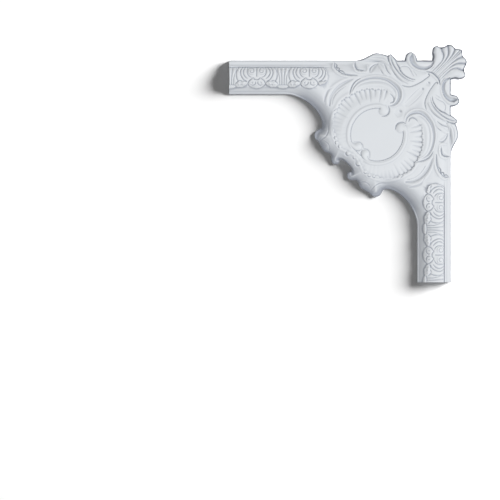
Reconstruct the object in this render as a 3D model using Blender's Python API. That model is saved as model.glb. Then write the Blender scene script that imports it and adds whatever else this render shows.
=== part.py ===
"""Corner piece of a carved wall-panel moulding: two straight arms of ribboned moulding at a right angle,
and between them a rococo field with a plain disc, rolled rings, C scrolls and a scallop shell on the corner.
It is one casting with a flat back, and its own mirror image across the diagonal.

The design is drawn in millimetres: a runs left from the outer corner, b runs down, and h stands off the wall.
The origin is the middle of the disc, on the back face. +Z is up, and the carved face looks along -Y."""
import math

import bmesh
import bpy
import numpy as np
from mathutils.geometry import delaunay_2d_cdt

MM = 0.001
ARM = 300.0             # outer corner to either cut end
BAND = 45.0             # width of the moulding
CENTRE = 100.0          # middle of the disc, from both outer edges
PERIOD = 71.0           # one repeat of the band's ornament
FLOWER = 192.0          # first flower of the band, from the outer corner
GRAIN = 1.3             # spacing of the surface points before thinning
SURFACE_FACES = 7700    # triangles kept on the carved face

# outlines of the half with a >= b, walked from the left cut end
OUTER_HUMP = [(133, 0), (125, -0.6), (120, -2), (115, -4.2), (110, -7), (106, -9.2), (102, -10.3),
              (100, -10.5),
              (96, -9.8), (91, -8.6), (87, -7.3), (85.2, -6.6)]
OUTER_SPIKE = [(85.2, -6.6), (83.8, -8.3), (82, -8.9), (80, -8), (78, -6), (76, -3.5), (74.5, -1.4),
               (73, 0)]
OUTER_VOLUTE = [(62.5, 0), (61.6, -5), (60, -8.5), (58, -10.5), (55, -11.4), (52, -11), (49.5, -9.6),
                (47.4, -7), (46.4, -4), (45.5, 0)]
OUTER_SHELL = [(25.5, 0), (24.4, -5), (24.6, -7), (25.3, -10), (25, -13), (24.4, -16), (22.7, -18.6),
               (20, -19.7), (17.5, -19.2), (15, -18.1), (12, -17.9), (9, -18.9), (6, -20.5), (3, -21.4),
               (0, -20.9), (-2.5, -19.5), (-4.5, -17.4), (-7, -16), (-11, -15.5), (-14.7, -14.7)]
INNER = [(223.3, 45.0), (217, 45.6), (212.5, 46.7), (203, 50.4), (194.9, 55.1), (186.8, 61.8),
         (180.1, 69.3),
         (176, 76.7), (174, 83.4), (173.7, 88.2), (175, 91.5)]
INNER_VOLUTE = [(175, 91.5), (178.7, 93.2), (181.4, 94.9), (183.7, 98.3), (184.1, 102.3), (182.4, 106.4),
                (179.4, 109.1), (176.7, 113.1), (173.3, 119.2), (171.3, 121.9), (167.9, 123.7)]
INNER_HOOK = [(167.9, 123.7), (163.2, 126), (161.2, 129.3), (161.5, 132), (161.2, 135.4), (159.2, 138.8),
              (155.8, 140.1), (152.4, 139.5), (150.4, 136.1), (151.1, 134.3)]
INNER_TIP = [(151.1, 134.3), (147.7, 133.8), (142.6, 136.6), (139.6, 139.6)]


def spline(points, step=0.7):
    """Centripetal Catmull-Rom curve through points of two or more columns."""
    pts = np.asarray(points, float)
    ext = np.vstack([2 * pts[0] - pts[1], pts, 2 * pts[-1] - pts[-2]])
    out = []
    for p0, p1, p2, p3 in zip(ext, ext[1:], ext[2:], ext[3:]):
        gap = [max(math.dist(u[:2], v[:2]), 1e-4) ** 0.5 for u, v in ((p0, p1), (p1, p2), (p2, p3))]
        t0, t1 = 0.0, gap[0]
        t2 = t1 + gap[1]
        t3 = t2 + gap[2]
        count = max(int(math.ceil(math.dist(p1[:2], p2[:2]) / step)), 1)
        for t in np.linspace(t1, t2, count, endpoint=False):
            a1 = (t1 - t) / (t1 - t0) * p0 + (t - t0) / (t1 - t0) * p1
            a2 = (t2 - t) / (t2 - t1) * p1 + (t - t1) / (t2 - t1) * p2
            a3 = (t3 - t) / (t3 - t2) * p2 + (t - t2) / (t3 - t2) * p3
            b1 = (t2 - t) / (t2 - t0) * a1 + (t - t0) / (t2 - t0) * a2
            b2 = (t3 - t) / (t3 - t1) * a2 + (t - t1) / (t3 - t1) * a3
            out.append((t2 - t) / (t2 - t1) * b1 + (t - t1) / (t2 - t1) * b2)
    out.append(pts[-1])
    return np.array(out)


def straight(start, end, step):
    """Evenly stepped points from the start up to, but not at, the end."""
    count = max(int(round(math.dist(start, end) / step)), 1)
    return [(start[0] + (end[0] - start[0]) * i / count, start[1] + (end[1] - start[1]) * i / count)
            for i in range(count)]


def chain(runs, step):
    """Joins curves end to end, leaving out each doubled point."""
    out = []
    for run in runs:
        for p in spline(run, step):
            if not out or math.dist(out[-1], p[:2]) > 0.35 * step:
                out.append((float(p[0]), float(p[1])))
    return out


def half_outer(step):
    """Outer edge of the half, from the cut end to the tip on the axis."""
    out = straight((ARM, 0), OUTER_HUMP[0], step)
    out += chain([OUTER_HUMP, OUTER_SPIKE], step)
    out += straight(OUTER_SPIKE[-1], OUTER_VOLUTE[0], step)[1:]
    out += chain([OUTER_VOLUTE], step)
    out += straight(OUTER_VOLUTE[-1], OUTER_SHELL[0], step)[1:]
    out += chain([OUTER_SHELL], step)
    return out


def half_inner(step):
    """Inner edge of the half, from the cut end to the tip on the axis."""
    return straight((ARM, BAND), INNER[0], step) + chain([INNER, INNER_VOLUTE, INNER_HOOK, INNER_TIP], step)


def mirrored(line):
    """The same line on the other half."""
    return [(b, a) for a, b in line]


def full_outline(step):
    """Closed outline: the left cut end, the outer edge, the lower cut end, then back along the inner edge."""
    outer, inner = half_outer(step), half_inner(step)
    cut = straight((ARM, BAND), (ARM, 0), step)
    loop = cut + outer[:-1] + mirrored(outer)[::-1]
    loop += mirrored(cut)[::-1] + mirrored(inner)[:-1] + inner[::-1]
    out = []
    for p in loop:
        if not out or math.dist(out[-1], p) > 0.3 * step:
            out.append(p)
    if math.dist(out[0], out[-1]) < 0.3 * step:
        out.pop()
    return np.array(out)


def nearest(p, line):
    """Distance to a polyline, which side of it a point is on, and how far along it that is."""
    best = np.full(len(p), 1e18)
    side = np.zeros(len(p))
    along = np.zeros(len(p))
    for i in range(len(line) - 1):
        start = line[i, :2]
        run = line[i + 1, :2] - start
        size = run @ run
        if size < 1e-12:
            continue
        off = p - start
        t = np.clip(off @ run / size, 0, 1)
        rest = off - t[:, None] * run
        d2 = (rest ** 2).sum(1)
        closer = d2 < best
        best[closer] = d2[closer]
        side[closer] = np.sign(run[0] * off[closer, 1] - run[1] * off[closer, 0])
        along[closer] = i + t[closer]
    return np.sqrt(best), side, along


def inside(p, loop):
    """Even-odd test of points against a closed polygon."""
    hit = np.zeros(len(p), bool)
    x, y = p[:, 0], p[:, 1]
    for (x0, y0), (x1, y1) in zip(loop, np.roll(loop, -1, axis=0)):
        cross = (y0 > y) != (y1 > y)
        if y1 != y0:
            hit ^= cross & (x < (x1 - x0) * (y - y0) / (y1 - y0) + x0)
    return hit


def smooth(x, lo, hi):
    """Eases from 0 at the first bound to 1 at the second."""
    t = np.clip((x - lo) / (hi - lo), 0, 1)
    return t * t * (3 - 2 * t)


def distance_to(p, line):
    """Distance from each point to the nearest point of a finely stepped line."""
    out = np.empty(len(p))
    size = (line ** 2).sum(1)
    for i in range(0, len(p), 4000):
        q = p[i:i + 4000]
        d2 = (q ** 2).sum(1)[:, None] + size[None] - 2 * q @ line.T
        out[i:i + 4000] = np.sqrt(np.maximum(d2.min(1), 0))
    return out


def table(x, pairs):
    """Value between the given places, blended without a kink at them (cubic, no overshoot)."""
    xs = np.array([v[0] for v in pairs], float)
    ys = np.array([v[1] for v in pairs], float)
    step = np.diff(xs)
    slope = np.diff(ys) / step
    mid = np.zeros(len(xs))
    same = slope[:-1] * slope[1:] > 0
    mid[1:-1][same] = 2 * slope[:-1][same] * slope[1:][same] / (slope[:-1][same] + slope[1:][same])
    mid[0], mid[-1] = slope[0], slope[-1]
    x = np.clip(x, xs[0], xs[-1])
    k = np.clip(np.searchsorted(xs, x, side="right") - 1, 0, len(xs) - 2)
    t = (x - xs[k]) / step[k]
    return ((2 * t ** 3 - 3 * t ** 2 + 1) * ys[k] + (t ** 3 - 2 * t ** 2 + t) * step[k] * mid[k]
            + (-2 * t ** 3 + 3 * t ** 2) * ys[k + 1] + (t ** 3 - t ** 2) * step[k] * mid[k + 1])


# heights over the wall: across the outer side of the band and of the corner field, by distance from the
# outer edge, then across the inner side of both, by distance from the inner edge
BAND_SIDE = [(0, 12.4), (3, 12.5), (6, 12.7), (7.0, 13.2), (7.9, 13.9), (8.35, 13.6),
             (8.9, 12.4), (9.6, 13.2), (12, 15.2), (15, 17.0), (19, 18.2), (24, 18.5)]
FIELD_SIDE = [(0, 12.4), (4, 12.6), (8, 13.6), (12, 15.2), (17, 16.6), (24, 17.0)]
CORNER_SIDE = [(0, 15.6), (8, 16.2), (16, 16.8), (24, 17.0)]
EDGE = [(0, -2.2), (0.35, -1.1), (1.2, -0.25), (3, 0)]
INNER_SIDE = [(0, 3.4), (0.6, 4.6), (1.6, 5.0), (2.6, 5.6), (4, 7.1), (7, 10.4),
              (10, 13.1), (14, 15.6), (19, 17.3), (26, 18.2), (34, 18.6)]


class Carving:
    """Heights over the wall at a set of points, which the mirror half shares with the half that is drawn."""

    def __init__(self, points):
        a, b = points.T
        self.p = np.stack([np.maximum(a, b), np.minimum(a, b)], 1)
        self.h = np.zeros(len(points))

    def near(self, line, reach):
        """Which points lie in the box round a line."""
        low, high = line[:, :2].min(0) - reach, line[:, :2].max(0) + reach
        return np.flatnonzero(((self.p > low) & (self.p < high)).all(1))

    def along(self, points):
        """Points near a path of (a, b, half width): which they are, how far off it, on which side of it, and the
        path's half width there and at its widest."""
        line = spline(points)
        widest = line[:, 2].max()
        idx = self.near(line, widest)
        d, hand, place = nearest(self.p[idx], line)
        wide = np.interp(place, np.arange(len(line)), np.maximum(line[:, 2], 1e-3))
        return idx, d, hand, wide, widest

    def stroke(self, points, height, shape, side=0, power=0.7):
        """Raises (or, below zero, cuts) along a path of (a, b, half width). With a side given, the shape runs from
        one flank to the other."""
        idx, d, hand, wide, widest = self.along(points)
        u = d / wide
        ok = u < 1
        if side:
            u = u * hand * side
        self.h[idx[ok]] += height * SHAPES[shape](u[ok]) * (wide[ok] / widest) ** power

    def step(self, points, depth, side):
        """Overlap: drops the surface at a path of (a, b, reach) on one side, easing back over the reach."""
        idx, d, hand, wide, widest = self.along(points)
        ok = (d < wide) & (hand * side > 0)
        d, wide = d[ok], wide[ok]
        self.h[idx[ok]] -= depth * smooth(d, 0, 0.7) * (1 - d / wide) ** 2 * (wide / widest) ** 0.5

    def form(self, points, base, height, shape):
        """Stands a rounded body on the ground along a path of (a, b, half width)."""
        idx, d, _, wide, _ = self.along(points)
        ok = d < wide
        idx = idx[ok]
        self.h[idx] = np.maximum(self.h[idx], base + height * SHAPES[shape](d[ok] / wide[ok]))

    def blob(self, centre, radii, height, shape, turn=0.0):
        """Raises (or, below zero, sinks) an oval spot."""
        da, db = (self.p - centre).T
        c, s = math.cos(math.radians(turn)), math.sin(math.radians(turn))
        u = np.hypot((da * c + db * s) / radii[0], (-da * s + db * c) / radii[1])
        ok = u < 1
        self.h[ok] += height * SHAPES[shape](u[ok])

    def region(self, loop, edge):
        """How far inside a closed outline each point lies, from 0 at the edge to 1 past the edge width."""
        line = np.asarray(loop, float)
        line = spline(np.vstack([line, line[:1]]))[:, :2]
        idx = self.near(line, 0.0)
        ok = inside(self.p[idx], line)
        idx = idx[ok]
        d, _, _ = nearest(self.p[idx], line)
        out = np.zeros(len(self.p))
        out[idx] = np.clip(d / edge, 0, 1)
        return out


FREE_DROP = 2.6         # how far a free edge is rounded down, and over what width
FREE_REACH = 2.2
ARM_DEPTH = 0.85        # depth of the arm's ornament against its drawing
BLEND = 1.1             # how sharply the outer and inner side meet

SHAPES = {
    "soft": lambda u: (1 - u * u) ** 2,
    "dome": lambda u: 1 - u * u,
    # a narrow line that its sides run down to
    "crease": lambda u: (1 - np.abs(u)) ** 2,
    # a low crest on one flank, then a long slope down to a short rise on the other
    "bank": lambda u: table(u, [(-1, 0), (-0.62, 0.3), (0.62, -0.7), (1, 0)]),
    # a crest near one flank, with a long slope to the other side
    "lean": lambda u: np.where(u < -0.7, smooth(u, -1, -0.7), ((1 - u) / 1.7) ** 1.15),
}


def ball(u):
    """Half a ball's height over its radius, and 0 outside it."""
    return np.sqrt(np.maximum(1 - u * u, 0))


def arm_motif(u, b, on):
    """One repeat of the band's ornament: a pair of spirals over a flower, leaves, and a fluted calyx between.
    u runs from the flower's middle to the calyx's middle."""
    h = np.zeros(len(u))
    half = PERIOD / 2

    def cut(points, depth):
        line = spline(points)
        widest = line[:, 2].max()
        spots = np.stack([u, b], 1)
        low, high = line[:, :2].min(0) - widest, line[:, :2].max(0) + widest
        idx = np.flatnonzero(((spots > low) & (spots < high)).all(1) & on)
        if len(idx) == 0:
            return
        d, _, along = nearest(spots[idx], line)
        wide = np.interp(along, np.arange(len(line)), line[:, 2])
        ok = d < wide
        h[idx[ok]] -= depth * SHAPES["crease"](d[ok] / wide[ok]) * (wide[ok] / widest) ** 0.7

    # ground of the ornament stands over the ovolo, with its lower edge scalloped
    lower = np.interp(u, [0, 5, 10.5, 12, 14, 20, 27, 29, half],
                      [38, 37.6, 35, 34.2, 36.2, 37, 36.5, 37.4, 37.8])
    rise = smooth(lower - b, -0.5, 1.0) * smooth(b, 8.9, 10.0)
    h += 1.7 * rise * on
    # spiral: a coil round a small eye
    from_u, from_b = u - 7.0, b - 14.0
    r = np.hypot(from_u, from_b)
    turn = np.arctan2(from_b, from_u)
    coil = (0.5 - 0.5 * np.cos(2 * np.pi * (r - 0.55 * turn) / 3.2)) ** 2
    h += on * (0.9 * ball(r / 6.2) - 1.2 * coil * smooth(6.2 - r, 0, 1.2) * smooth(r, 0.8, 1.8))
    # stem between the spirals
    cut([(0, 9.5, 1.0), (0, 15, 1.4), (0, 20, 1.4), (0.4, 22, 0.6)], 1.8)
    # leaves that rise and curl outwards round the spirals
    leaves = [
        [(11.8, 9.5, 1.0), (12.8, 13, 1.6), (12.6, 17, 1.6), (10.6, 21, 1.4), (7, 23, 0.8)],
        [(15, 9.3, 1.0), (17.6, 13.5, 1.7), (18, 17.5, 1.7), (15.8, 21.8, 1.7), (12.6, 24.6, 0.9)],
        [(19, 9.3, 1.0), (21.6, 13.5, 1.7), (21.9, 17.5, 1.7), (20.2, 22.5, 1.7), (17, 26.5, 1.5),
         (13, 28.5, 0.9)],
        [(24.2, 9.3, 1.0), (26.8, 14, 1.7), (27.6, 18.5, 1.7), (27, 24, 1.7), (25, 28.5, 1.1)],
    ]
    for leaf in leaves:
        cut(leaf, 1.9)
    # bracket over the flower
    cut([(0, 20.6, 0.9), (3, 20.9, 1.3), (6, 21.6, 1.3), (9, 24, 0.8)], 1.3)
    cut([(0, 25.6, 1.2), (4, 25.7, 1.3), (6.5, 24.2, 0.9)], 1.3)
    cut([(4.5, 21.5, 1.0), (7.5, 25, 1.6), (10.4, 28, 1.9), (11.6, 31.5, 1.9), (10.6, 35, 1.2)], 2.4)
    # flower: petals round a small eye
    across, down = u / 10.4, (b - 31.6) / 6.0
    r = np.hypot(across, down)
    petal = np.abs(np.sin(2.5 * np.arctan2(down, across))) ** 0.6
    h += on * (1.2 * ball(r) + 0.9 * (petal - 1) * smooth(r, 0.2, 0.5) * smooth(1 - r, 0, 0.2))
    r = np.hypot(u - 1.0, b - 32.2)
    h += on * (0.5 * (1 - smooth(r, 0.3, 2.0)) - 0.9 * np.sin(np.pi * np.clip((r - 1.6) / 2.0, 0, 1)))
    # lumpy leaf ends beside the flower
    for lump_u, lump_b in ((14.5, 31.5), (18.2, 33.8), (22.4, 34.4), (26.2, 33.6), (19.6, 29.6),
                           (23.8, 30.4)):
        h += on * ball(np.hypot(u - lump_u, b - lump_b) / 2.6)
    # calyx: upright flutes that spread to the groove, over a low bulb
    v = half - u
    spread = 1.0 + 0.75 * smooth(26 - b, 0, 16)
    zone = on * smooth(7.2 * spread / 1.3 - v, 0, 1.2) * smooth(b, 9.4, 10.6) * smooth(33.5 - b, 0, 1.5)
    h -= zone * 1.3 * (0.5 - 0.5 * np.cos(2 * np.pi * v / (3.1 * spread))) ** 2
    h += on * 0.9 * ball(np.hypot(v / 7.0, (b - 35.4) / 2.6))
    cut([(half - 7.6, 33.6, 1.0), (half - 3.5, 33.2, 1.3), (half, 33.2, 1.3)], 1.4)
    return h


# the fluted shell: where its edge dips between two flutes, the middle of its fan, and the disc it surrounds
NOTCHES = [(87.0, 40.4), (94.5, 39.3), (102.8, 39.2), (110.6, 38.2), (117.6, 39.2), (124.5, 41.2),
           (130.9, 44.0),
           (138.6, 48.6), (145.6, 52.0), (149.8, 57.8), (153.0, 62.8), (155.6, 69.4), (159.0, 76.0),
           (160.0, 81.8),
           (160.5, 87.8), (159.2, 94.0), (156.6, 99.8), (154.6, 106.2), (152.0, 111.6), (146.2, 120.4),
           (141.7, 121.4), (138.4, 128.0), (131.2, 131.2)]
SHELL_END = [(83.5, 57.2), (79.2, 56.4), (77.2, 53.2), (78.6, 48.6), (82.6, 45.4)]
SCALLOP = 1.7
FAN = (104.0, 97.0)
DISC = (100.0, 100.5)
# half widths of a flute's valley, and of the crease at its tip, at distances from its notch
FLUTE = [(-0.8, 0.9), (2.5, 2.5), (7, 2.5), (14, 1.0)]
FLUTE_TIP = [(-0.6, 0.9), (2, 1.5), (6, 0.6)]
# the small beads that go on round the fluted edge where the inner scrolls meet it
BEADS = [(157.4, 102.6), (154.2, 111.0), (148.4, 117.6), (140.4, 123.8), (133.4, 129.6)]


def towards(start, goal, distance):
    """The point a distance along the way from one place to another."""
    size = math.dist(start, goal)
    return (start[0] + (goal[0] - start[0]) * distance / size,
            start[1] + (goal[1] - start[1]) * distance / size)


def fan_line(notch, widths):
    """A line from a notch in towards the middle of the fan, as (a, b, half width)."""
    return [(*towards(notch, FAN, far), wide) for far, wide in widths]


def disc_arc(radius, first, last, count):
    """Points on a circle round the disc, between two angles in degrees."""
    turns = np.radians(np.linspace(first, last, count))
    return [(DISC[0] + radius * math.cos(t), DISC[1] + radius * math.sin(t)) for t in turns]


def scalloped(notches):
    """The notches, with a round lobe standing out between each two."""
    out = [notches[0]]
    for last, notch in zip(notches, notches[1:]):
        middle = ((last[0] + notch[0]) / 2, (last[1] + notch[1]) / 2)
        out += [towards(middle, DISC, -SCALLOP), notch]
    return out


def shell_and_rings(c):
    """Fluted shell round the disc, the two rolled rings, and the big C scrolls that hold it."""
    a, b = c.p[:, 0], c.p[:, 1]
    # big C scroll: a rim that leans over a hollow on the disc's side
    outer_c = [(135.2, 43.2, 0.8), (133.0, 37.5, 1.8), (129.2, 31.6, 2.6), (124, 27.8, 3.0),
               (118, 25, 3.4), (110, 22.9, 3.8),
               (102, 22.2, 3.9), (94, 23, 3.8), (86.5, 25, 3.8), (79.5, 29, 3.9), (73.3, 34.2, 3.8),
               (69.5, 39.8, 3.5), (68.3, 46, 3.3),
               (69.4, 52.2, 3.1), (72.9, 57.8, 2.8), (78.2, 61.2, 2.2), (83.8, 62.0, 1.0)]
    c.stroke(outer_c, 2.6, "bank", side=-1)
    c.stroke([(131, 41, 1.5), (127.6, 36.2, 3.0), (121, 31.2, 3.8), (110, 28.8, 4.0), (102, 28.2, 4.0),
              (94, 29.2, 4.0), (87, 31.2, 4.0),
              (81.4, 34.4, 4.0), (77.6, 39, 3.4), (75.8, 46, 2.6), (77, 52, 1.4)], -0.5, "soft")
    c.stroke([(132.4, 42.6, 0.6), (129.0, 36.0, 1.2), (123.0, 31.2, 1.5), (113, 28.0, 1.6),
              (102, 27.0, 1.6), (94, 27.8, 1.6), (87, 29.8, 1.6),
              (80.4, 33.6, 1.6), (75.6, 39, 1.6), (73.6, 45, 1.5), (74.2, 51, 1.2),
              (76.6, 55.4, 0.7)], 0.5, "soft")
    # rolled white edge round the scallops
    c.stroke([(131.4, 128, 1.6), (141, 123.5, 2.6), (152, 117.5, 2.6), (158, 108, 2.6), (161.8, 97, 2.4),
              (163, 85, 2.4), (161, 75, 2.6), (156.5, 64.5, 2.8), (150.5, 54, 3.0),
              (141, 47.2, 3.4), (134.5, 43.2, 3.6), (128.5, 37.6, 3.8), (121, 34, 4.2), (112, 32.2, 4.2),
              (103, 32, 4.2), (94, 32.6, 4.2),
              (86.5, 35.4, 4.2), (80.6, 40.4, 3.8), (76, 46.2, 3.0), (74.6, 52, 2.0)], 0.7, "soft")
    # fluted field, sunk inside its scalloped edge
    sunk = smooth(c.region(SHELL_END + scalloped(NOTCHES) + disc_arc(43, 44, -104, 30), 1.6), 0, 1)
    r = np.hypot(a - DISC[0], b - DISC[1])
    bowl = 15.4 + 1.2 * smooth(-r, -60, -44)
    clear = smooth(a - b, 30, 70)
    bowl = bowl * clear + (c.h - 0.3) * (1 - clear)
    c.h = c.h * (1 - sunk) + bowl * sunk
    for notch in NOTCHES[:-1]:
        fade = smooth(notch[0] - notch[1], 20, 60)
        c.stroke(fan_line(notch, FLUTE), -0.25 - 0.7 * fade, "soft", power=1.0)
        c.stroke(fan_line(notch, FLUTE_TIP), -0.7 * fade, "crease")
    # round end of the shell under the C
    c.stroke([(83.5, 44.6, 0.5), (79.6, 47.9, 1.5), (77.6, 52.2, 1.9), (78.6, 56.0, 2.0),
              (82.4, 57.4, 1.2)], -1.8, "crease")
    # disc, level with the open field towards the corner
    t = np.degrees(np.arctan2(b - DISC[1], a - DISC[0]))
    opening = 1 - smooth(t, -108, -100)
    disc = 15.9 - 0.6 * smooth(r, 33.4, 36.2) * (1 - opening)
    c.h = np.where(r < 36.2, disc, c.h)
    c.h = np.where((r >= 36.2) & (r < 62), c.h + (15.9 - 17.0) * opening * (1 - smooth(r, 36.2, 58)), c.h)
    # rolled ring between shell and disc, with a knob at each end
    ring_path = [(125.8, 116.2, 5.4), (129.6, 117.2, 5.0), (134.8, 114.8, 4.0)]
    ring_path += [(*p, 3.5) for p in disc_arc(39.6, 14, -96, 24)]
    ring_path += [(92.6, 63.4, 5.0), (91.4, 67.6, 7.2)]
    c.form(ring_path, 15.3, 2.4, "dome")
    c.stroke([(85.4, 61.2, 0.9), (83.6, 66, 1.9), (84.6, 71.2, 2.2), (88.2, 74.6, 2.0), (93.6, 75.6, 0.9)],
             -1.8, "crease")
    c.stroke([(138.2, 109.1, 0.7), (134, 117.0, 1.4), (129, 121.4, 1.7), (125, 122.2, 1.7),
              (120.8, 120.4, 1.2)], -0.9, "crease")
    c.stroke([(131.6, 110.2, 1.0), (128.2, 110.0, 1.4), (123.4, 110.4, 1.6), (120.0, 113.8, 1.6),
              (119.0, 118.2, 1.2)], -0.8, "crease")


def axis_ornaments(c):
    """Dimples on the diagonal."""
    c.blob((71.4, 71.4), (6.4, 6.4), -0.9, "dome")
    c.blob((68.6, 68.6), (2.4, 3.2), -0.9, "soft", turn=45)
    c.stroke([(60.4, 60.4, 3.4), (54, 54, 4.4), (46, 46, 4.2), (38.6, 38.6, 2.8)], -0.7, "dome")
    c.blob((38.4, 38.4), (1.8, 2.4), -0.9, "soft", turn=45)
    c.blob((31.6, 31.6), (4.0, 4.0), -0.6, "dome")
    c.blob((30.0, 30.0), (1.6, 2.2), -0.9, "soft", turn=45)


def narrowing(points, wide, end):
    """Gives a path of (a, b) a half width that runs evenly from one value to another."""
    n = len(points) - 1
    return [(a, b, wide + (end - wide) * i / n) for i, (a, b) in enumerate(points)]


def corner_shell(c, d_out):
    """The scallop shell that fans over the outer corner, and the C scroll that its outer lobe rolls into."""
    a, b = c.p[:, 0], c.p[:, 1]
    # body of the scroll: lip, channel and head in one ribbon that the shell's outer lobe carries on
    body = [(55.2, -9.4, 4.4), (54.8, -4.6, 6.6), (54.2, 0.6, 6.4), (51.6, 5.4, 6.0), (47.0, 9.4, 5.4),
            (41, 11.6, 4.6),
            (35, 12.0, 4.0), (29.6, 10.6, 3.6), (26.2, 7.4, 3.8)]
    c.form(body, 15.4, 2.1, "dome")
    side = [(27.5, -26), (27.3, 1), (26.2, 6), (26.8, 11), (29, 14), (27.2, 16), (24, 18.4)]
    loop = side + [(y, x) for x, y in reversed(side)] + [(-30, -30)]
    reach = smooth(c.region(loop, 4.5), 0, 1)
    base = 17.2 + 1.8 * smooth(d_out, 0, 5) + 1.0 * smooth(d_out, 4, 14) - 2.4 * smooth((a + b) / 2, 6, 20)
    c.h = c.h * (1 - reach) + base * reach
    # outer lobe: a smooth round leaf end
    c.stroke([(20.2, -17, 3.2), (19.4, -12.6, 5.8), (18.6, -7.4, 6.2), (20, -2, 5.2), (22.6, 2.6, 4.2),
              (25.4, 6.4, 3.2),
              (28.4, 9.4, 2.0)], 1.3, "dome")
    # channel along the scroll, from a deep head to a faint end on the lobe
    channel = [(52.4, -7.6, 1.4), (52.9, -4.4, 3.2), (52.7, -0.6, 3.4), (50.6, 3.8, 3.0), (46.4, 7.6, 2.6),
               (41.4, 9.8, 2.3), (35.6, 10.4, 2.1),
              (30.2, 9.2, 2.2), (26.4, 6.0, 2.0), (24, 2.2, 1.0)]
    c.stroke(channel, -3.6, "lean", side=1)
    c.stroke(channel, -2.2, "dome")
    c.stroke([(57.0, -4.6, 0.8), (56.4, 0.4, 1.3), (53.6, 5.0, 1.5), (49.4, 9.0, 1.5), (44.4, 11.6, 1.4),
              (38.6, 12.9, 1.3), (32.6, 12.9, 0.8)],
             -2.0, "crease")
    # creases fan out from the neck; each pair of flutes meets in one
    creases = [
        [(13.2, -16.4), (12.1, -12.5), (10.4, -6.7), (12.1, 0), (16.7, 5.8), (22.5, 11.7), (26.8, 15.8)],
        [(4.3, -18.4), (3.8, -10.8), (5.0, -5.8), (8.3, 0), (12.5, 5), (17.5, 10.8), (24.0, 17.2)],
        [(-5.2, -16.4), (-3.9, -12.5), (-2.0, -8.4), (0.8, -4.2), (4.6, 0.6), (9.6, 5.9), (15.2, 11.7),
         (22.0, 18.4)],
        [(-11.4, -13.2), (-4.2, -5.6), (3.3, 2.2), (8.4, 7.2), (14.2, 13), (20.8, 19.4)],
    ]
    for crease, wide, depth in zip(creases, (3.6, 4.0, 3.8, 2.0), (2.8, 2.9, 2.9, 1.7)):
        c.stroke(narrowing(crease, wide, 0.32 * wide), -depth, "crease", power=1.35)
    c.step(narrowing(creases[0], 3.0, 1.0), 0.8, -1)
    # collar where the shell's neck meets the leaves
    collar = [(33, 15.0, 0.8), (30, 15.6, 1.5), (26.8, 16.4, 1.9), (24.2, 17.8, 2.0), (21.8, 19.8, 2.0),
              (19.8, 21.8, 2.0)]
    c.stroke(collar, -2.3, "crease")
    c.stroke([(x + 1.4, y + 1.4, w) for x, y, w in collar], 0.7, "soft")


def big_leaf(c):
    """Acanthus leaf that springs from the spike on the outer edge and sweeps round to the collar."""
    lower = [(66.4, 33.4), (62, 35.1), (56, 35.6), (50, 33.8), (44.4, 31.2), (39.2, 28.2), (35.6, 25.6),
             (32.6, 23.4), (30.2, 21.4)]
    loop = [(84, -8), (84.5, 0), (82, 9), (77, 19), (71.5, 27.5)] + lower + [(27, 17), (31, 14.4),
                                                                             (38, 14.6), (46, 13.2),
                                                                             (54, 8.4), (60, 3), (70, 1),
                                                                             (76, -2), (80, -8)]
    c.h += 0.7 * smooth(c.region(loop, 6.0), 0, 1)
    # the spike's bright rib, and the rib between the two long creases
    c.stroke([(83.2, -8, 1.6), (83.0, -2, 2.3), (81.4, 4.0, 2.6), (78.8, 10, 2.8), (75.4, 15.6, 2.8),
              (71, 21.0, 2.6), (65.4, 26.2, 2.2),
              (58, 30.4, 1.4)], 1.4, "soft")
    c.stroke([(79.4, -3.6, 0.9), (77.6, 3, 1.6), (74.8, 8.6, 2.0), (71.4, 13.6, 2.1), (67.4, 18.2, 2.0),
              (61.6, 22.6, 1.5), (55, 25.4, 0.8)],
             0.9, "soft")
    for line, depth in (
            # long crease down the spike's right side
            ([(81.6, -6, 0.9), (81.2, -1, 1.9), (79.6, 3.6, 2.1), (76.8, 8.6, 2.0), (73.4, 13.4, 1.9),
              (69.4, 17.8, 1.8), (64.4, 22.6, 1.6),
              (57.6, 26.8, 1.2), (50, 28.4, 0.7)], -1.1),
            # crisp crease inside it
            ([(75.2, 0.8, 0.9), (72.4, 6.2, 1.5), (70.4, 9.4, 1.9), (68.9, 13.2, 1.8), (66.3, 17.0, 1.6),
              (62.6, 20.5, 1.5), (58.6, 23.0, 1.4),
              (54.2, 24.9, 1.2), (49, 26.0, 0.7)], -1.7),
            ([(69.4, 9.4, 1.0), (65.4, 7.9, 1.4), (61.0, 8.0, 1.5), (57.0, 10.2, 1.5), (54.8, 14.0, 1.5),
              (52.6, 18.4, 1.2), (50.2, 21.6, 0.6)], -0.9),
            ([(51.4, 13.6, 0.5), (49, 17.2, 1.2), (46, 21.4, 0.5)], -0.7),
            ([(66.4, 33.6, 0.7)] + [(x, y, 1.25) for x, y in lower[1:]] + [(29.6, 20.2, 1.2),
                                                                           (30.8, 18.2, 1.0)], -1.5),
            # left side of the spike, and a fine line below it
            ([(86, -7.4, 0.6), (85.2, -2.6, 1.6), (83.8, 2.6, 1.7), (81.0, 7.4, 0.8)], -1.8),
            ([(80.4, 12, 0.6), (76.8, 18.0, 1.4), (72.2, 24, 1.2), (67, 28.6, 0.5)], -0.7)):
        c.stroke(line, depth, "crease")
    c.blob((30.6, 18.6), (1.8, 1.8), -0.8, "soft")


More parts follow.
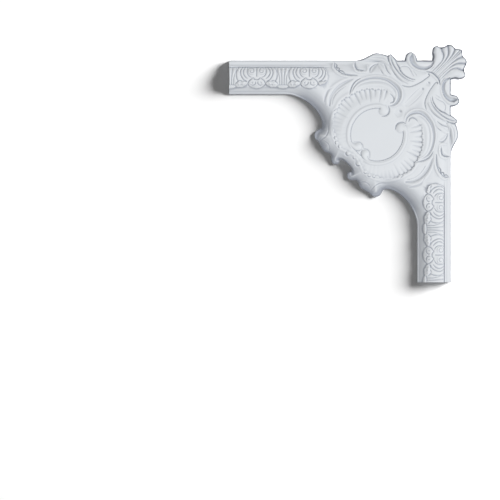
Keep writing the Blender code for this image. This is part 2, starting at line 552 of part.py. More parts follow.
def hump_leaves(c):
    """Overlapping leaves along the outer edge, from the spike to the band's ornament."""
    # broad leaf on the hump, its lower edge standing over the field
    c.stroke([(114, -2.6, 1.5), (105, -4.4, 4.4), (97, -3.8, 5.4), (90, -1.0, 4.8), (85.6, 3, 3.0)], 2.6,
             "dome")
    c.stroke([(108, -4.2, 0.8), (99, -4.2, 2.0), (92.5, -2.8, 2.4), (88, 0.2, 1.8), (85.6, 3.4, 1.0)],
             -1.0, "soft")
    c.step([(117, 1.2, 1.5), (108, 2.4, 3.0), (98, 2.2, 4.0), (91.5, 2.0, 3.6), (87.4, 4.4, 2.4),
            (84, 8, 1.0)], 2.0, 1)
    # two dark crescents below it, with a raised fold between
    c.stroke([(90.4, 4.6, 0.6), (88.8, 8.0, 1.7), (87.4, 12.0, 2.1), (85.0, 15.8, 1.7), (82.2, 19.0, 0.8)],
             -1.7, "crease")
    c.stroke([(95.6, 12.4, 0.5), (93.8, 15.6, 1.4), (91.2, 18.8, 0.6)], -1.0, "crease")
    c.stroke([(98, 5, 1.6), (94.4, 10, 3.2), (90.6, 16, 3.0), (85.4, 20.8, 1.5)], 0.9, "soft")
    # hollow leaf over the C scroll
    c.stroke([(99, 4.5, 1.5), (103.6, 8.2, 3.2), (106.4, 12.4, 2.8), (108.6, 16.4, 1.2)], -1.0, "soft")
    c.stroke([(101, 4.6, 0.8), (106.6, 7.6, 2.1), (109.6, 11.6, 2.4), (109.8, 16, 1.2)], -2.0, "crease")
    c.stroke([(113.4, 6.6, 1.4), (112.6, 11, 2.4), (114.4, 15.6, 1.4)], 0.8, "soft")
    # second leaf: a hollow crescent with its tip on the fillet
    c.step([(130.4, 2.8, 1.6), (130.2, 7.6, 4.4), (127.4, 12.2, 5.0), (121.8, 13.8, 4.6),
            (114.6, 12.2, 2.0)], 4.2, 1)
    c.stroke([(131, 2.8, 0.7), (132.2, 8, 1.6), (129.4, 13.6, 1.9), (123.4, 16.2, 1.9), (116, 15.4, 1.2)],
             0.9, "soft")
    # first leaf: toothed, running into the C scroll
    c.step([(158.2, 3.4, 1.6), (158.2, 8.2, 4.4), (154.2, 13.8, 5.2), (147.6, 18.2, 5.0),
            (138.8, 20.4, 4.0), (128, 20.8, 2.0)], 3.4, 1)
    c.stroke([(159, 3.6, 0.8), (160.2, 8.6, 1.7), (156.2, 15.2, 1.9), (148.8, 20.0, 1.9), (138, 22.4, 1.6),
              (126, 22.4, 0.9)], 0.9, "soft")
    for tooth in ([(153.2, 5.6), (153.8, 9.6)], [(150, 8.6), (151.2, 13.4)], [(146.2, 11.2), (146, 16)]):
        c.stroke([(*tooth[0], 1.9), (*tooth[1], 1.2)], 1.1, "soft")
        c.stroke([(tooth[0][0] - 1.6, tooth[0][1] + 0.8, 1.2),
                  (tooth[1][0] - 1.6, tooth[1][1] + 0.8, 0.9)], -0.9, "crease")


def fronds(c):
    """Long flutes that sweep from the arm down to the inner edge."""
    for line, depth, shape in (
            ([(132.6, 25.4, 0.8), (138, 27.6, 2.2), (143.6, 30.4, 3.0), (151.3, 35.5, 3.6),
              (157, 41.2, 3.8), (160.8, 47.2, 3.6),
              (163.2, 53, 3.0), (164.4, 61, 1.6)], -2.2, "soft"),
            ([(131.6, 24.6, 0.6), (138, 26.2, 1.2), (143.6, 28.8, 1.5), (151.7, 33.5, 1.6),
              (157.8, 39.6, 1.6), (161.9, 45.6, 1.4), (164.2, 51, 0.8)], -0.9, "crease"),
            ([(142.6, 34.8, 0.7), (151.7, 40.9, 1.7), (157.1, 47, 1.9), (159.8, 52.4, 1.8),
              (161, 59.5, 0.9)], -1.7, "crease"),
            ([(158.8, 35.9, 0.8), (166.6, 41.6, 2.6), (170, 48.7, 2.4), (171.4, 56, 1.0)], -0.9, "soft"),
            ([(122.5, 24.2, 0.6), (127.6, 26.8, 1.7), (131.6, 30.8, 2.6), (134.8, 36.6, 2.8),
              (136.4, 42, 2.3), (137.6, 47.6, 0.9)], -2.2, "crease"),
            ([(155.0, 64.6, 0.8), (157.0, 66.8, 1.8), (159.4, 68.6, 0.8)], -1.3, "crease")):
        c.stroke(line, depth, shape)
    c.stroke([(136, 23.6, 1.0), (146, 26.6, 2.4), (157, 33.2, 2.8), (164.6, 42.0, 2.8), (167.6, 52, 2.2),
              (168, 61, 1.0)], 0.7, "soft")


def inner_scrolls(c):
    """Two rolled edges that curl on the inner outline, and the small hooks between them and the shell."""
    c.stroke([(183.5, 62, 1.6), (178.6, 68, 2.6), (174.2, 75.6, 3.6), (172.2, 84, 4.2), (173.6, 92.4, 4.6),
              (178, 98.4, 4.6), (181, 102.4, 3.6)], -1.6, "soft")
    c.stroke([(169.4, 76, 1.2), (167, 84, 2.0), (167.6, 92.6, 2.6), (171, 99.4, 2.8), (176.4, 104.4, 2.8),
              (180.6, 106.6, 1.6)], 1.6, "soft")
    c.stroke([(165.8, 88, 0.8), (166, 96, 1.6), (170, 103.2, 1.9), (175.6, 107.8, 1.2)], -1.2, "crease")
    c.stroke([(144, 134.4, 1.4), (149, 132.4, 2.6), (154, 133.6, 3.2), (156, 137.4, 2.4)], -1.6, "soft")
    c.stroke([(139.6, 131.6, 1.0), (147, 128.8, 2.0), (154.4, 129.4, 2.4), (158.8, 132.6, 2.4),
              (159.8, 137, 1.6)], 1.4, "soft")
    c.stroke([(172, 108, 0.6), (166.6, 112, 1.4), (164, 118, 1.4), (165, 122.6, 0.6)], -0.8, "crease")
    for x, y in BEADS:
        c.blob((x, y), (2.9, 2.9), 1.0, "dome")
        c.stroke([(x + 0.4, y - 3.2, 0.6), (x + 3.0, y - 0.6, 1.3), (x + 1.8, y + 2.8, 0.6)], -0.8,
                 "crease")


# where the arm's ornament ends towards the corner, as (a, b)
ARM_END = [(171.5, 9), (168.8, 13), (167.2, 18), (166.2, 22), (166.8, 27), (170, 31), (176, 33), (182, 36)]


def height(points):
    """Carves the piece over the given points; the result's h is the height over the wall in mm."""
    c = Carving(points)
    a, b = c.p[:, 0], c.p[:, 1]
    inner, outer = half_inner(0.35), half_outer(0.35)
    d_in = distance_to(c.p, np.array(inner + mirrored(inner)))
    d_out = distance_to(c.p, np.array(outer + mirrored(outer)))
    # plain ground: the band's profile on the arm, a raised field on the corner
    corner = 1 - smooth(a, 158, 186)
    plateau = 1 - smooth(a, 78, 104)
    outer_side = table(b, BAND_SIDE) * (1 - corner) + table(b, FIELD_SIDE) * corner
    outer_side = outer_side * (1 - plateau) + table(b, CORNER_SIDE) * plateau + table(d_out, EDGE)
    inner_side = table(d_in, INNER_SIDE)
    c.h = -np.logaddexp(-BLEND * outer_side, -BLEND * inner_side) / BLEND

    # ornament of the arm
    u = np.abs((a - FLOWER + PERIOD / 2) % PERIOD - PERIOD / 2)
    end = np.interp(b, [p[1] for p in ARM_END], [p[0] for p in ARM_END])
    on = smooth(a - end, 0, 0.8)
    c.h += ARM_DEPTH * arm_motif(u, b, on > 0) * on

    shell_and_rings(c)
    axis_ornaments(c)
    hump_leaves(c)
    big_leaf(c)
    fronds(c)
    inner_scrolls(c)
    corner_shell(c, d_out)
    # leaves and shell are rounded off at their free edge
    free = np.maximum(smooth(-b, -1.5, 1.0) * smooth(-a, -140, -120), plateau)
    c.h -= free * FREE_DROP * (1 - np.sqrt(1 - (1 - np.clip(d_out / FREE_REACH, 0, 1)) ** 2))
    return c


def flat_sheet():
    """The piece's outline filled with evenly spread triangles."""
    loop = full_outline(GRAIN * 1.15)
    low, high = loop.min(0), loop.max(0)
    rows = np.arange(low[1], high[1], GRAIN * math.sqrt(3) / 2)
    grid = []
    for i, row in enumerate(rows):
        run = np.arange(low[0] + (i % 2) * GRAIN / 2, high[0], GRAIN)
        grid.append(np.stack([run, np.full(len(run), row)], 1))
    grid = np.vstack(grid)
    grid = grid[inside(grid, loop)]
    fine = full_outline(0.5)
    grid = grid[distance_to(grid, fine) > 0.62 * GRAIN]
    count = len(loop)
    points = [tuple(p) for p in loop] + [tuple(p) for p in grid]
    rim = [(i, (i + 1) % count) for i in range(count)]
    spots, _, faces, _, _, _ = delaunay_2d_cdt(points, rim, [], 1, 1e-5)
    return np.array([(v.x, v.y) for v in spots]), faces


def carved_face():
    """The sheet raised to the carving, thinned where it is plain."""
    spots, faces = flat_sheet()
    rise = height(spots).h
    mesh = bpy.data.meshes.new("carved_face")
    mesh.from_pydata([(a, b, h) for (a, b), h in zip(spots, rise)], [], faces)
    obj = bpy.data.objects.new("carved_face", mesh)
    bpy.context.scene.collection.objects.link(obj)
    thin = obj.modifiers.new("thin", "DECIMATE")
    thin.ratio = SURFACE_FACES / len(faces)
    bpy.context.view_layer.update()
    ready = obj.evaluated_get(bpy.context.evaluated_depsgraph_get())
    thinned = bpy.data.meshes.new_from_object(ready)
    bpy.data.objects.remove(obj)
    return thinned


def casting(face):
    """Stands the carved face on its flat back: a wall round the outline, and the back itself."""
    bm = bmesh.new()
    bm.from_mesh(face)
    for v in bm.verts:
        for axis in (0, 1):
            if abs(v.co[axis] - ARM) < 0.2:
                v.co[axis] = ARM
    rim = [e for e in bm.edges if e.is_boundary]
    made = bmesh.ops.extrude_edge_only(bm, edges=rim)["geom"]
    for v in made:
        if isinstance(v, bmesh.types.BMVert):
            v.co.z = 0.0
    foot = [e for e in made if isinstance(e, bmesh.types.BMEdge) and e.is_boundary]
    bmesh.ops.contextual_create(bm, geom=foot)
    bmesh.ops.triangulate(bm, faces=bm.faces[:])
    bmesh.ops.recalc_face_normals(bm, faces=bm.faces[:])
    for v in bm.verts:
        a, b, h = v.co
        v.co = (-(a - CENTRE) * MM, -h * MM, -(b - CENTRE) * MM)
    mesh = bpy.data.meshes.new("corner_piece")
    bm.to_mesh(mesh)
    bm.free()
    return mesh


def plaster():
    """White primer over dense foam."""
    material = bpy.data.materials.new("white_primer")
    material.use_nodes = True
    shader = material.node_tree.nodes["Principled BSDF"]
    shader.inputs["Base Color"].default_value = (0.80, 0.82, 0.85, 1.0)
    shader.inputs["Roughness"].default_value = 0.55
    shader.inputs["Metallic"].default_value = 0.0
    return material


for old in list(bpy.data.objects):
    bpy.data.objects.remove(old)
home = bpy.data.collections.new("moulding_corner")
bpy.context.scene.collection.children.link(home)
piece = bpy.data.objects.new("corner_piece", casting(carved_face()))
piece.data.materials.append(plaster())
piece.data.shade_smooth()
piece.data.set_sharp_from_angle(angle=math.radians(50))
home.objects.link(piece)
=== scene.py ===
"""Looks of the carved moulding corner: fine carving over the solid, white primer, wall, light and camera.

The design is drawn in millimetres: a runs left from the outer corner, b runs down, and h is the height over
the wall. The two halves of the piece are mirror images, so only the half with a >= b is drawn. In the scene
the origin is the middle of the disc, on the back face, +Z is up, and the carved face looks along -Y."""
import math

import bmesh
import bpy
import numpy as np
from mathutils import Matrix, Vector
from mathutils.geometry import delaunay_2d_cdt


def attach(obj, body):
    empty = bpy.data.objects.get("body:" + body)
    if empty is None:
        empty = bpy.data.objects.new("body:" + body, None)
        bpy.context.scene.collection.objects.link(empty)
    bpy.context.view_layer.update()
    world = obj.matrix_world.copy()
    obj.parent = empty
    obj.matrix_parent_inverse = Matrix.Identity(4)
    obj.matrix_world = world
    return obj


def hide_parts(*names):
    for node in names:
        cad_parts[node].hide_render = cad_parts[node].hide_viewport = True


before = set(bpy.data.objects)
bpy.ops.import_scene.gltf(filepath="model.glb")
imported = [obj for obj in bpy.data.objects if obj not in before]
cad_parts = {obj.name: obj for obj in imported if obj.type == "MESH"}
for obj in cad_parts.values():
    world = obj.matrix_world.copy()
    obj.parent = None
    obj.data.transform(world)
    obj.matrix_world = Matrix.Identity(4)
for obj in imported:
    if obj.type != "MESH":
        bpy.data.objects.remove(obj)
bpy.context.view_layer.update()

MM = 0.001

# the moulding, in mm
ARM = 300.0               # outer corner to either cut end
BAND = 45.0               # width of the moulding
CENTRE = 100.0            # middle of the disc and the origin, from both outer edges
PERIOD = 71.0             # one repeat of the band's ornament
FLOWER = 192.0            # first flower of the band, from the outer corner
ARM_DEPTH = 0.85          # depth of the band's ornament against its drawing
FREE_DROP = 2.6           # how far a free edge is rounded down, and over what width
FREE_REACH = 2.2
BLEND = 1.1               # how sharply the outer and inner side meet
FIELD_LEVEL = 17.0        # height of the field round the disc
DISC_LEVEL = 15.9         # height of the disc, its radius, and how far and how wide its edge is sunk
DISC_RADIUS = 36.2
DISC_SINK = 0.25
DISC_SINK_WIDTH = 1.6
RING_RADIUS = 39.6        # the rolled ring round the disc, its foot's height and its own
RING_FOOT = 15.5
RING_RISE = 2.1

# the mesh
GRAIN = 0.62              # spacing of the surface points before thinning
RIM_GRAIN = 1.15          # spacing of the outline's points, as a share of the grain
RIM_GAP = 0.62            # how far the other points keep off the outline, as a share of the grain
FINE_STEP = 0.3           # spacing of the outline's points where that gap is measured
EDGE_STEP = 0.35          # spacing of the points on the edges that the carving is measured from
SURFACE_FACES = 160000    # triangles kept on the carved face
DISC_EDGE = (18.0, 37.0)  # ring round the disc that isn't thinned, so no painted shade is carried across the disc
CUT_SNAP = 0.1            # points this near a cut end are put on it
SHARP_ANGLE = 60          # degrees between faces from which an edge is drawn sharp
CHUNK = 4000              # points whose distances are worked out at a time

# painted shade and highlight, by tone: 0 is the darkest painted shade, at a free edge, 0.5 is unshaded and 1
# is a crest's painted highlight
PAINTED_SHADE_LAYER = "painted_shade_tone"
PLAIN_TONE = 0.5
HOLLOW_SHADE_LEVEL = 0.15       # painted shade tone of the deepest hollow; free edges go on down to 0
HOLLOW_PASSES = 7         # how far around a point counts for its hollow
HOLLOW_BLEND = (0.3, 0.7)  # weights of a point and of its neighbours in each pass
FULL_SHADE_DEPTH = 0.65        # depth below the surface around it that takes the darkest painted shade
STEEP_SHADE = (1.3, 3.2)        # slopes between which the painted shade darkens
COVE_SHADE_STRENGTH = 0.19          # how much painted shade darkens the cove on the inner side
# colours the primer is multiplied by: painted shade, darkest at free edges and grey in hollows, none where
# plain, and a painted highlight on crests
RIM_SHADE_COLOUR = (0.12, 0.13, 0.16, 1)
HOLLOW_SHADE_COLOUR = (0.55, 0.572, 0.622, 1)
UNSHADED_COLOUR = (0.93, 0.94, 0.95, 1)
CREST_HIGHLIGHT_COLOUR = (1.0, 1.0, 1.0, 1)
PRIMER_DARK = (0.665, 0.684, 0.706, 1)
PRIMER_LIGHT = (0.69, 0.709, 0.731, 1)

# outlines of the half with a >= b, walked from the left cut end
OUTER_HUMP = [(133, 0), (125, -0.6), (120, -2), (115, -4.2), (110, -7), (106, -9.2), (102, -10.3),
              (100, -10.5), (96, -9.8), (91, -8.6), (87, -7.3), (85.2, -6.6)]
OUTER_SPIKE = [(85.2, -6.6), (83.8, -8.3), (82, -8.9), (80, -8), (78, -6), (76, -3.5), (74.5, -1.4),
               (73, 0)]
OUTER_VOLUTE = [(62.5, 0), (61.6, -5), (60, -8.5), (58, -10.5), (55, -11.4), (52, -11), (49.5, -9.6),
                (47.4, -7), (46.4, -4), (45.5, 0)]
OUTER_SHELL = [(25.5, 0), (24.4, -5), (24.6, -7), (25.3, -10), (25, -13), (24.4, -16), (22.7, -18.6),
               (20, -19.7), (17.5, -19.2), (15, -18.1), (12, -17.9), (9, -18.9), (6, -20.5), (3, -21.4),
               (0, -20.9), (-2.5, -19.5), (-4.5, -17.4), (-7, -16), (-11, -15.5), (-14.7, -14.7)]
INNER = [(223.3, 45.0), (217, 45.6), (212.5, 46.7), (203, 50.4), (194.9, 55.1), (186.8, 61.8),
         (180.1, 69.3), (176, 76.7), (174, 83.4), (173.7, 88.2), (175, 91.5)]
INNER_VOLUTE = [(175, 91.5), (178.7, 93.2), (181.4, 94.9), (183.7, 98.3), (184.1, 102.3), (182.4, 106.4),
                (179.4, 109.1), (176.7, 113.1), (173.3, 119.2), (171.3, 121.9), (167.9, 123.7)]
INNER_HOOK = [(167.9, 123.7), (163.2, 126), (161.2, 129.3), (161.5, 132), (161.2, 135.4), (159.2, 138.8),
              (155.8, 140.1), (152.4, 139.5), (150.4, 136.1), (151.1, 134.3)]
INNER_TIP = [(151.1, 134.3), (147.7, 133.8), (142.6, 136.6), (139.6, 139.6)]
# a line past the tips of the small scrolls, that the ground falls towards
FALL_LINE = INNER[:9] + [(177.4, 90), (181, 97), (182, 104), (179.4, 111), (175.4, 118), (170.6, 124.6),
                         (165.6, 130.8), (160.2, 136.4), (154.4, 141.4), (147.4, 147.4)]


def spline(points, step=0.7):
    """Smooth curve through points of two or more columns, of which the first two are the place."""
    pts = np.asarray(points, float)
    ext = np.vstack([2 * pts[0] - pts[1], pts, 2 * pts[-1] - pts[-2]])
    out = []
    for p0, p1, p2, p3 in zip(ext, ext[1:], ext[2:], ext[3:]):
        gap = [max(math.dist(u[:2], v[:2]), 1e-4) ** 0.5 for u, v in ((p0, p1), (p1, p2), (p2, p3))]
        t0, t1 = 0.0, gap[0]
        t2 = t1 + gap[1]
        t3 = t2 + gap[2]
        count = max(int(math.ceil(math.dist(p1[:2], p2[:2]) / step)), 1)
        for t in np.linspace(t1, t2, count, endpoint=False):
            a1 = (t1 - t) / (t1 - t0) * p0 + (t - t0) / (t1 - t0) * p1
            a2 = (t2 - t) / (t2 - t1) * p1 + (t - t1) / (t2 - t1) * p2
            a3 = (t3 - t) / (t3 - t2) * p2 + (t - t2) / (t3 - t2) * p3
            b1 = (t2 - t) / (t2 - t0) * a1 + (t - t0) / (t2 - t0) * a2
            b2 = (t3 - t) / (t3 - t1) * a2 + (t - t1) / (t3 - t1) * a3
            out.append((t2 - t) / (t2 - t1) * b1 + (t - t1) / (t2 - t1) * b2)
    out.append(pts[-1])
    return np.array(out)


def straight(start, end, step):
    """Evenly stepped points from the start up to, but not at, the end."""
    count = max(int(round(math.dist(start, end) / step)), 1)
    return [(start[0] + (end[0] - start[0]) * i / count, start[1] + (end[1] - start[1]) * i / count)
            for i in range(count)]


def chain(runs, step):
    """Joins curves end to end, leaving out each doubled point."""
    too_near = 0.35 * step
    out = []
    for run in runs:
        for p in spline(run, step):
            if not out or math.dist(out[-1], p[:2]) > too_near:
                out.append((float(p[0]), float(p[1])))
    return out


def half_outer(step):
    """Outer edge of the half, from the cut end to the tip on the axis."""
    out = straight((ARM, 0), OUTER_HUMP[0], step)
    out += chain([OUTER_HUMP, OUTER_SPIKE], step)
    out += straight(OUTER_SPIKE[-1], OUTER_VOLUTE[0], step)[1:]
    out += chain([OUTER_VOLUTE], step)
    out += straight(OUTER_VOLUTE[-1], OUTER_SHELL[0], step)[1:]
    out += chain([OUTER_SHELL], step)
    return out


def half_inner(step):
    """Inner edge of the half, from the cut end to the tip on the axis."""
    return straight((ARM, BAND), INNER[0], step) + chain([INNER, INNER_VOLUTE, INNER_HOOK, INNER_TIP], step)


def mirrored(line):
    """The same line on the other half."""
    return [(b, a) for a, b in line]


def full_outline(step):
    """Closed outline: left cut end, outer edge, lower cut end, then back along the inner edge."""
    too_near = 0.3 * step
    outer, inner = half_outer(step), half_inner(step)
    cut = straight((ARM, BAND), (ARM, 0), step)
    loop = cut + outer[:-1] + mirrored(outer)[::-1]
    loop += mirrored(cut)[::-1] + mirrored(inner)[:-1] + inner[::-1]
    out = []
    for p in loop:
        if not out or math.dist(out[-1], p) > too_near:
            out.append(p)
    if math.dist(out[0], out[-1]) < too_near:
        out.pop()
    return np.array(out)


def nearest(p, line):
    """Distance to a polyline, which side of it a point is on, and how far along it that is."""
    best = np.full(len(p), 1e18)
    side = np.zeros(len(p))
    along = np.zeros(len(p))
    for i in range(len(line) - 1):
        start = line[i, :2]
        run = line[i + 1, :2] - start
        size = run @ run
        if size < 1e-12:
            continue
        off = p - start
        t = np.clip(off @ run / size, 0, 1)
        rest = off - t[:, None] * run
        d2 = (rest ** 2).sum(1)
        closer = d2 < best
        best[closer] = d2[closer]
        side[closer] = np.sign(run[0] * off[closer, 1] - run[1] * off[closer, 0])
        along[closer] = i + t[closer]
    return np.sqrt(best), side, along


def inside(p, loop):
    """Even-odd test of points against a closed polygon."""
    hit = np.zeros(len(p), bool)
    x, y = p[:, 0], p[:, 1]
    for (x0, y0), (x1, y1) in zip(loop, np.roll(loop, -1, axis=0)):
        cross = (y0 > y) != (y1 > y)
        if y1 != y0:
            hit ^= cross & (x < (x1 - x0) * (y - y0) / (y1 - y0) + x0)
    return hit


def smooth(x, lo, hi):
    """Eases from 0 at the first bound to 1 at the second."""
    t = np.clip((x - lo) / (hi - lo), 0, 1)
    return t * t * (3 - 2 * t)


def distance_to(p, line):
    """Distance from each point to the nearest point of a finely stepped line."""
    out = np.empty(len(p))
    size = (line ** 2).sum(1)
    for i in range(0, len(p), CHUNK):
        q = p[i:i + CHUNK]
        d2 = (q ** 2).sum(1)[:, None] + size[None] - 2 * q @ line.T
        out[i:i + CHUNK] = np.sqrt(np.maximum(d2.min(1), 0))
    return out


def table(x, pairs):
    """Value between the given places, blended without a kink at them (cubic, no overshoot)."""
    xs = np.array([v[0] for v in pairs], float)
    ys = np.array([v[1] for v in pairs], float)
    step = np.diff(xs)
    slope = np.diff(ys) / step
    mid = np.zeros(len(xs))
    same = slope[:-1] * slope[1:] > 0
    mid[1:-1][same] = 2 * slope[:-1][same] * slope[1:][same] / (slope[:-1][same] + slope[1:][same])
    mid[0], mid[-1] = slope[0], slope[-1]
    x = np.clip(x, xs[0], xs[-1])
    k = np.clip(np.searchsorted(xs, x, side="right") - 1, 0, len(xs) - 2)
    t = (x - xs[k]) / step[k]
    return ((2 * t ** 3 - 3 * t ** 2 + 1) * ys[k] + (t ** 3 - 2 * t ** 2 + t) * step[k] * mid[k]
            + (-2 * t ** 3 + 3 * t ** 2) * ys[k + 1] + (t ** 3 - t ** 2) * step[k] * mid[k + 1])


# heights over the wall: across the outer side of the band and of the corner field, by distance from the
# outer edge, then across the inner side of both, by distance from the inner edge
BAND_SIDE = [(0, 12.4), (3, 12.5), (6, 12.7), (7.0, 13.2), (7.9, 13.9), (8.35, 13.6), (8.9, 12.4),
             (9.6, 13.2), (12, 15.2), (15, 17.0), (19, 18.2), (24, 18.5)]
FIELD_SIDE = [(0, 12.4), (4, 12.6), (8, 13.6), (12, 15.2), (17, 16.6), (24, 17.0)]
CORNER_SIDE = [(0, 15.6), (8, 16.2), (16, 16.8), (24, 17.0)]
EDGE = [(0, -2.2), (0.35, -1.1), (1.2, -0.25), (3, 0)]
INNER_SIDE = [(0, 3.4), (0.6, 4.6), (1.6, 5.0), (2.6, 5.6), (4, 7.1), (7, 10.4), (10, 13.1), (14, 15.6),
              (19, 17.3), (26, 18.2), (34, 18.6)]


class Carving:
    """Heights over the wall at a set of points, each folded onto the half that is drawn."""

    def __init__(self, points):
        a, b = points.T
        self.p = np.stack([np.maximum(a, b), np.minimum(a, b)], 1)
        self.h = np.zeros(len(points))
        self.rim = np.zeros(len(points))   # how strongly shade is painted near a free edge, up to 1
        self.cove_shade = np.zeros(len(points))  # how much shade is painted in the cove on the inner side

    def near(self, line, reach):
        """Which points lie in the box round a line."""
        low, high = line[:, :2].min(0) - reach, line[:, :2].max(0) + reach
        return np.flatnonzero(((self.p > low) & (self.p < high)).all(1))

    def along(self, points):
        """Points near a path of (a, b, half width): which they are, how far off it and on which side.

        It also gives the path's half width at each, and at its widest."""
        line = spline(points)
        widest = line[:, 2].max()
        idx = self.near(line, widest)
        d, hand, place = nearest(self.p[idx], line)
        wide = np.interp(place, np.arange(len(line)), np.maximum(line[:, 2], 1e-3))
        return idx, d, hand, wide, widest

    def stroke(self, points, height, shape, side=0, power=0.7):
        """Raises (or, below zero, cuts) along a path of (a, b, half width).

        With a side given, the shape runs from one flank to the other."""
        idx, d, hand, wide, widest = self.along(points)
        u = d / wide
        ok = u < 1
        if side:
            u = u * hand * side
        self.h[idx[ok]] += height * SHAPES[shape](u[ok]) * (wide[ok] / widest) ** power

    def step(self, points, depth, side):
        """Overlap: drops the surface on one side of a path of (a, b, reach), easing back over the reach."""
        idx, d, hand, wide, widest = self.along(points)
        ok = (d < wide) & (hand * side > 0)
        d, wide = d[ok], wide[ok]
        self.h[idx[ok]] -= depth * smooth(d, 0, 0.7) * (1 - d / wide) ** 1.5 * (wide / widest) ** 0.5

    def form(self, points, base, height, shape):
        """Stands a rounded body on the ground along a path of (a, b, half width)."""
        idx, d, _, wide, _ = self.along(points)
        ok = d < wide
        idx = idx[ok]
        self.h[idx] = np.maximum(self.h[idx], base + height * SHAPES[shape](d[ok] / wide[ok]))

    def blob(self, centre, radii, height, shape, turn=0.0):
        """Raises (or, below zero, sinks) an oval spot."""
        da, db = (self.p - centre).T
        c, s = math.cos(math.radians(turn)), math.sin(math.radians(turn))
        u = np.hypot((da * c + db * s) / radii[0], (-da * s + db * c) / radii[1])
        ok = u < 1
        self.h[ok] += height * SHAPES[shape](u[ok])

    def region(self, loop, edge):
        """How far inside a closed outline each point lies, from 0 at the edge to 1 past the edge width."""
        line = np.asarray(loop, float)
        line = spline(np.vstack([line, line[:1]]))[:, :2]
        idx = self.near(line, 0.0)
        ok = inside(self.p[idx], line)
        idx = idx[ok]
        d, _, _ = nearest(self.p[idx], line)
        out = np.zeros(len(self.p))
        out[idx] = np.clip(d / edge, 0, 1)
        return out


# cross sections of a stroke, by the share of its half width
SHAPES = {
    "soft": lambda u: (1 - u * u) ** 2,
    "roll": lambda u: np.clip(1 - u * u, 0, 1) ** 0.8,
    "dome": lambda u: 1 - u * u,
    # a narrow line, with its sides curving down to it
    "crease": lambda u: (1 - np.abs(u)) ** 2,
    # a low crest on one flank, then a long slope down to a short rise on the other
    "bank": lambda u: table(u, [(-1, 0), (-0.6, 0.35), (0.2, -0.65), (0.65, -0.85), (1, 0)]),
    # a crest near one flank, with a long slope to the other side
    "lean": lambda u: np.where(u < -0.7, smooth(u, -1, -0.7), ((1 - u) / 1.7) ** 1.15),
}


def ball(u):
    """Half a ball's height over its radius, and 0 outside it."""
    return np.sqrt(np.maximum(1 - u * u, 0))


# the spirals of the band's ornament, as (place along the band, place across it), their radius and pitch
SPIRAL = (7.0, 14.0)
SPIRAL_RADIUS = 6.2
SPIRAL_PITCH = 3.2
# lumps of the leaf beside each flower, as (place along the band, place across it, radius)
LUMPS = [(16.0, 31.4, 3.3), (20.4, 33.4, 3.6), (25.2, 33.0, 3.4), (18.4, 30.0, 2.8), (23.2, 30.2, 2.8)]


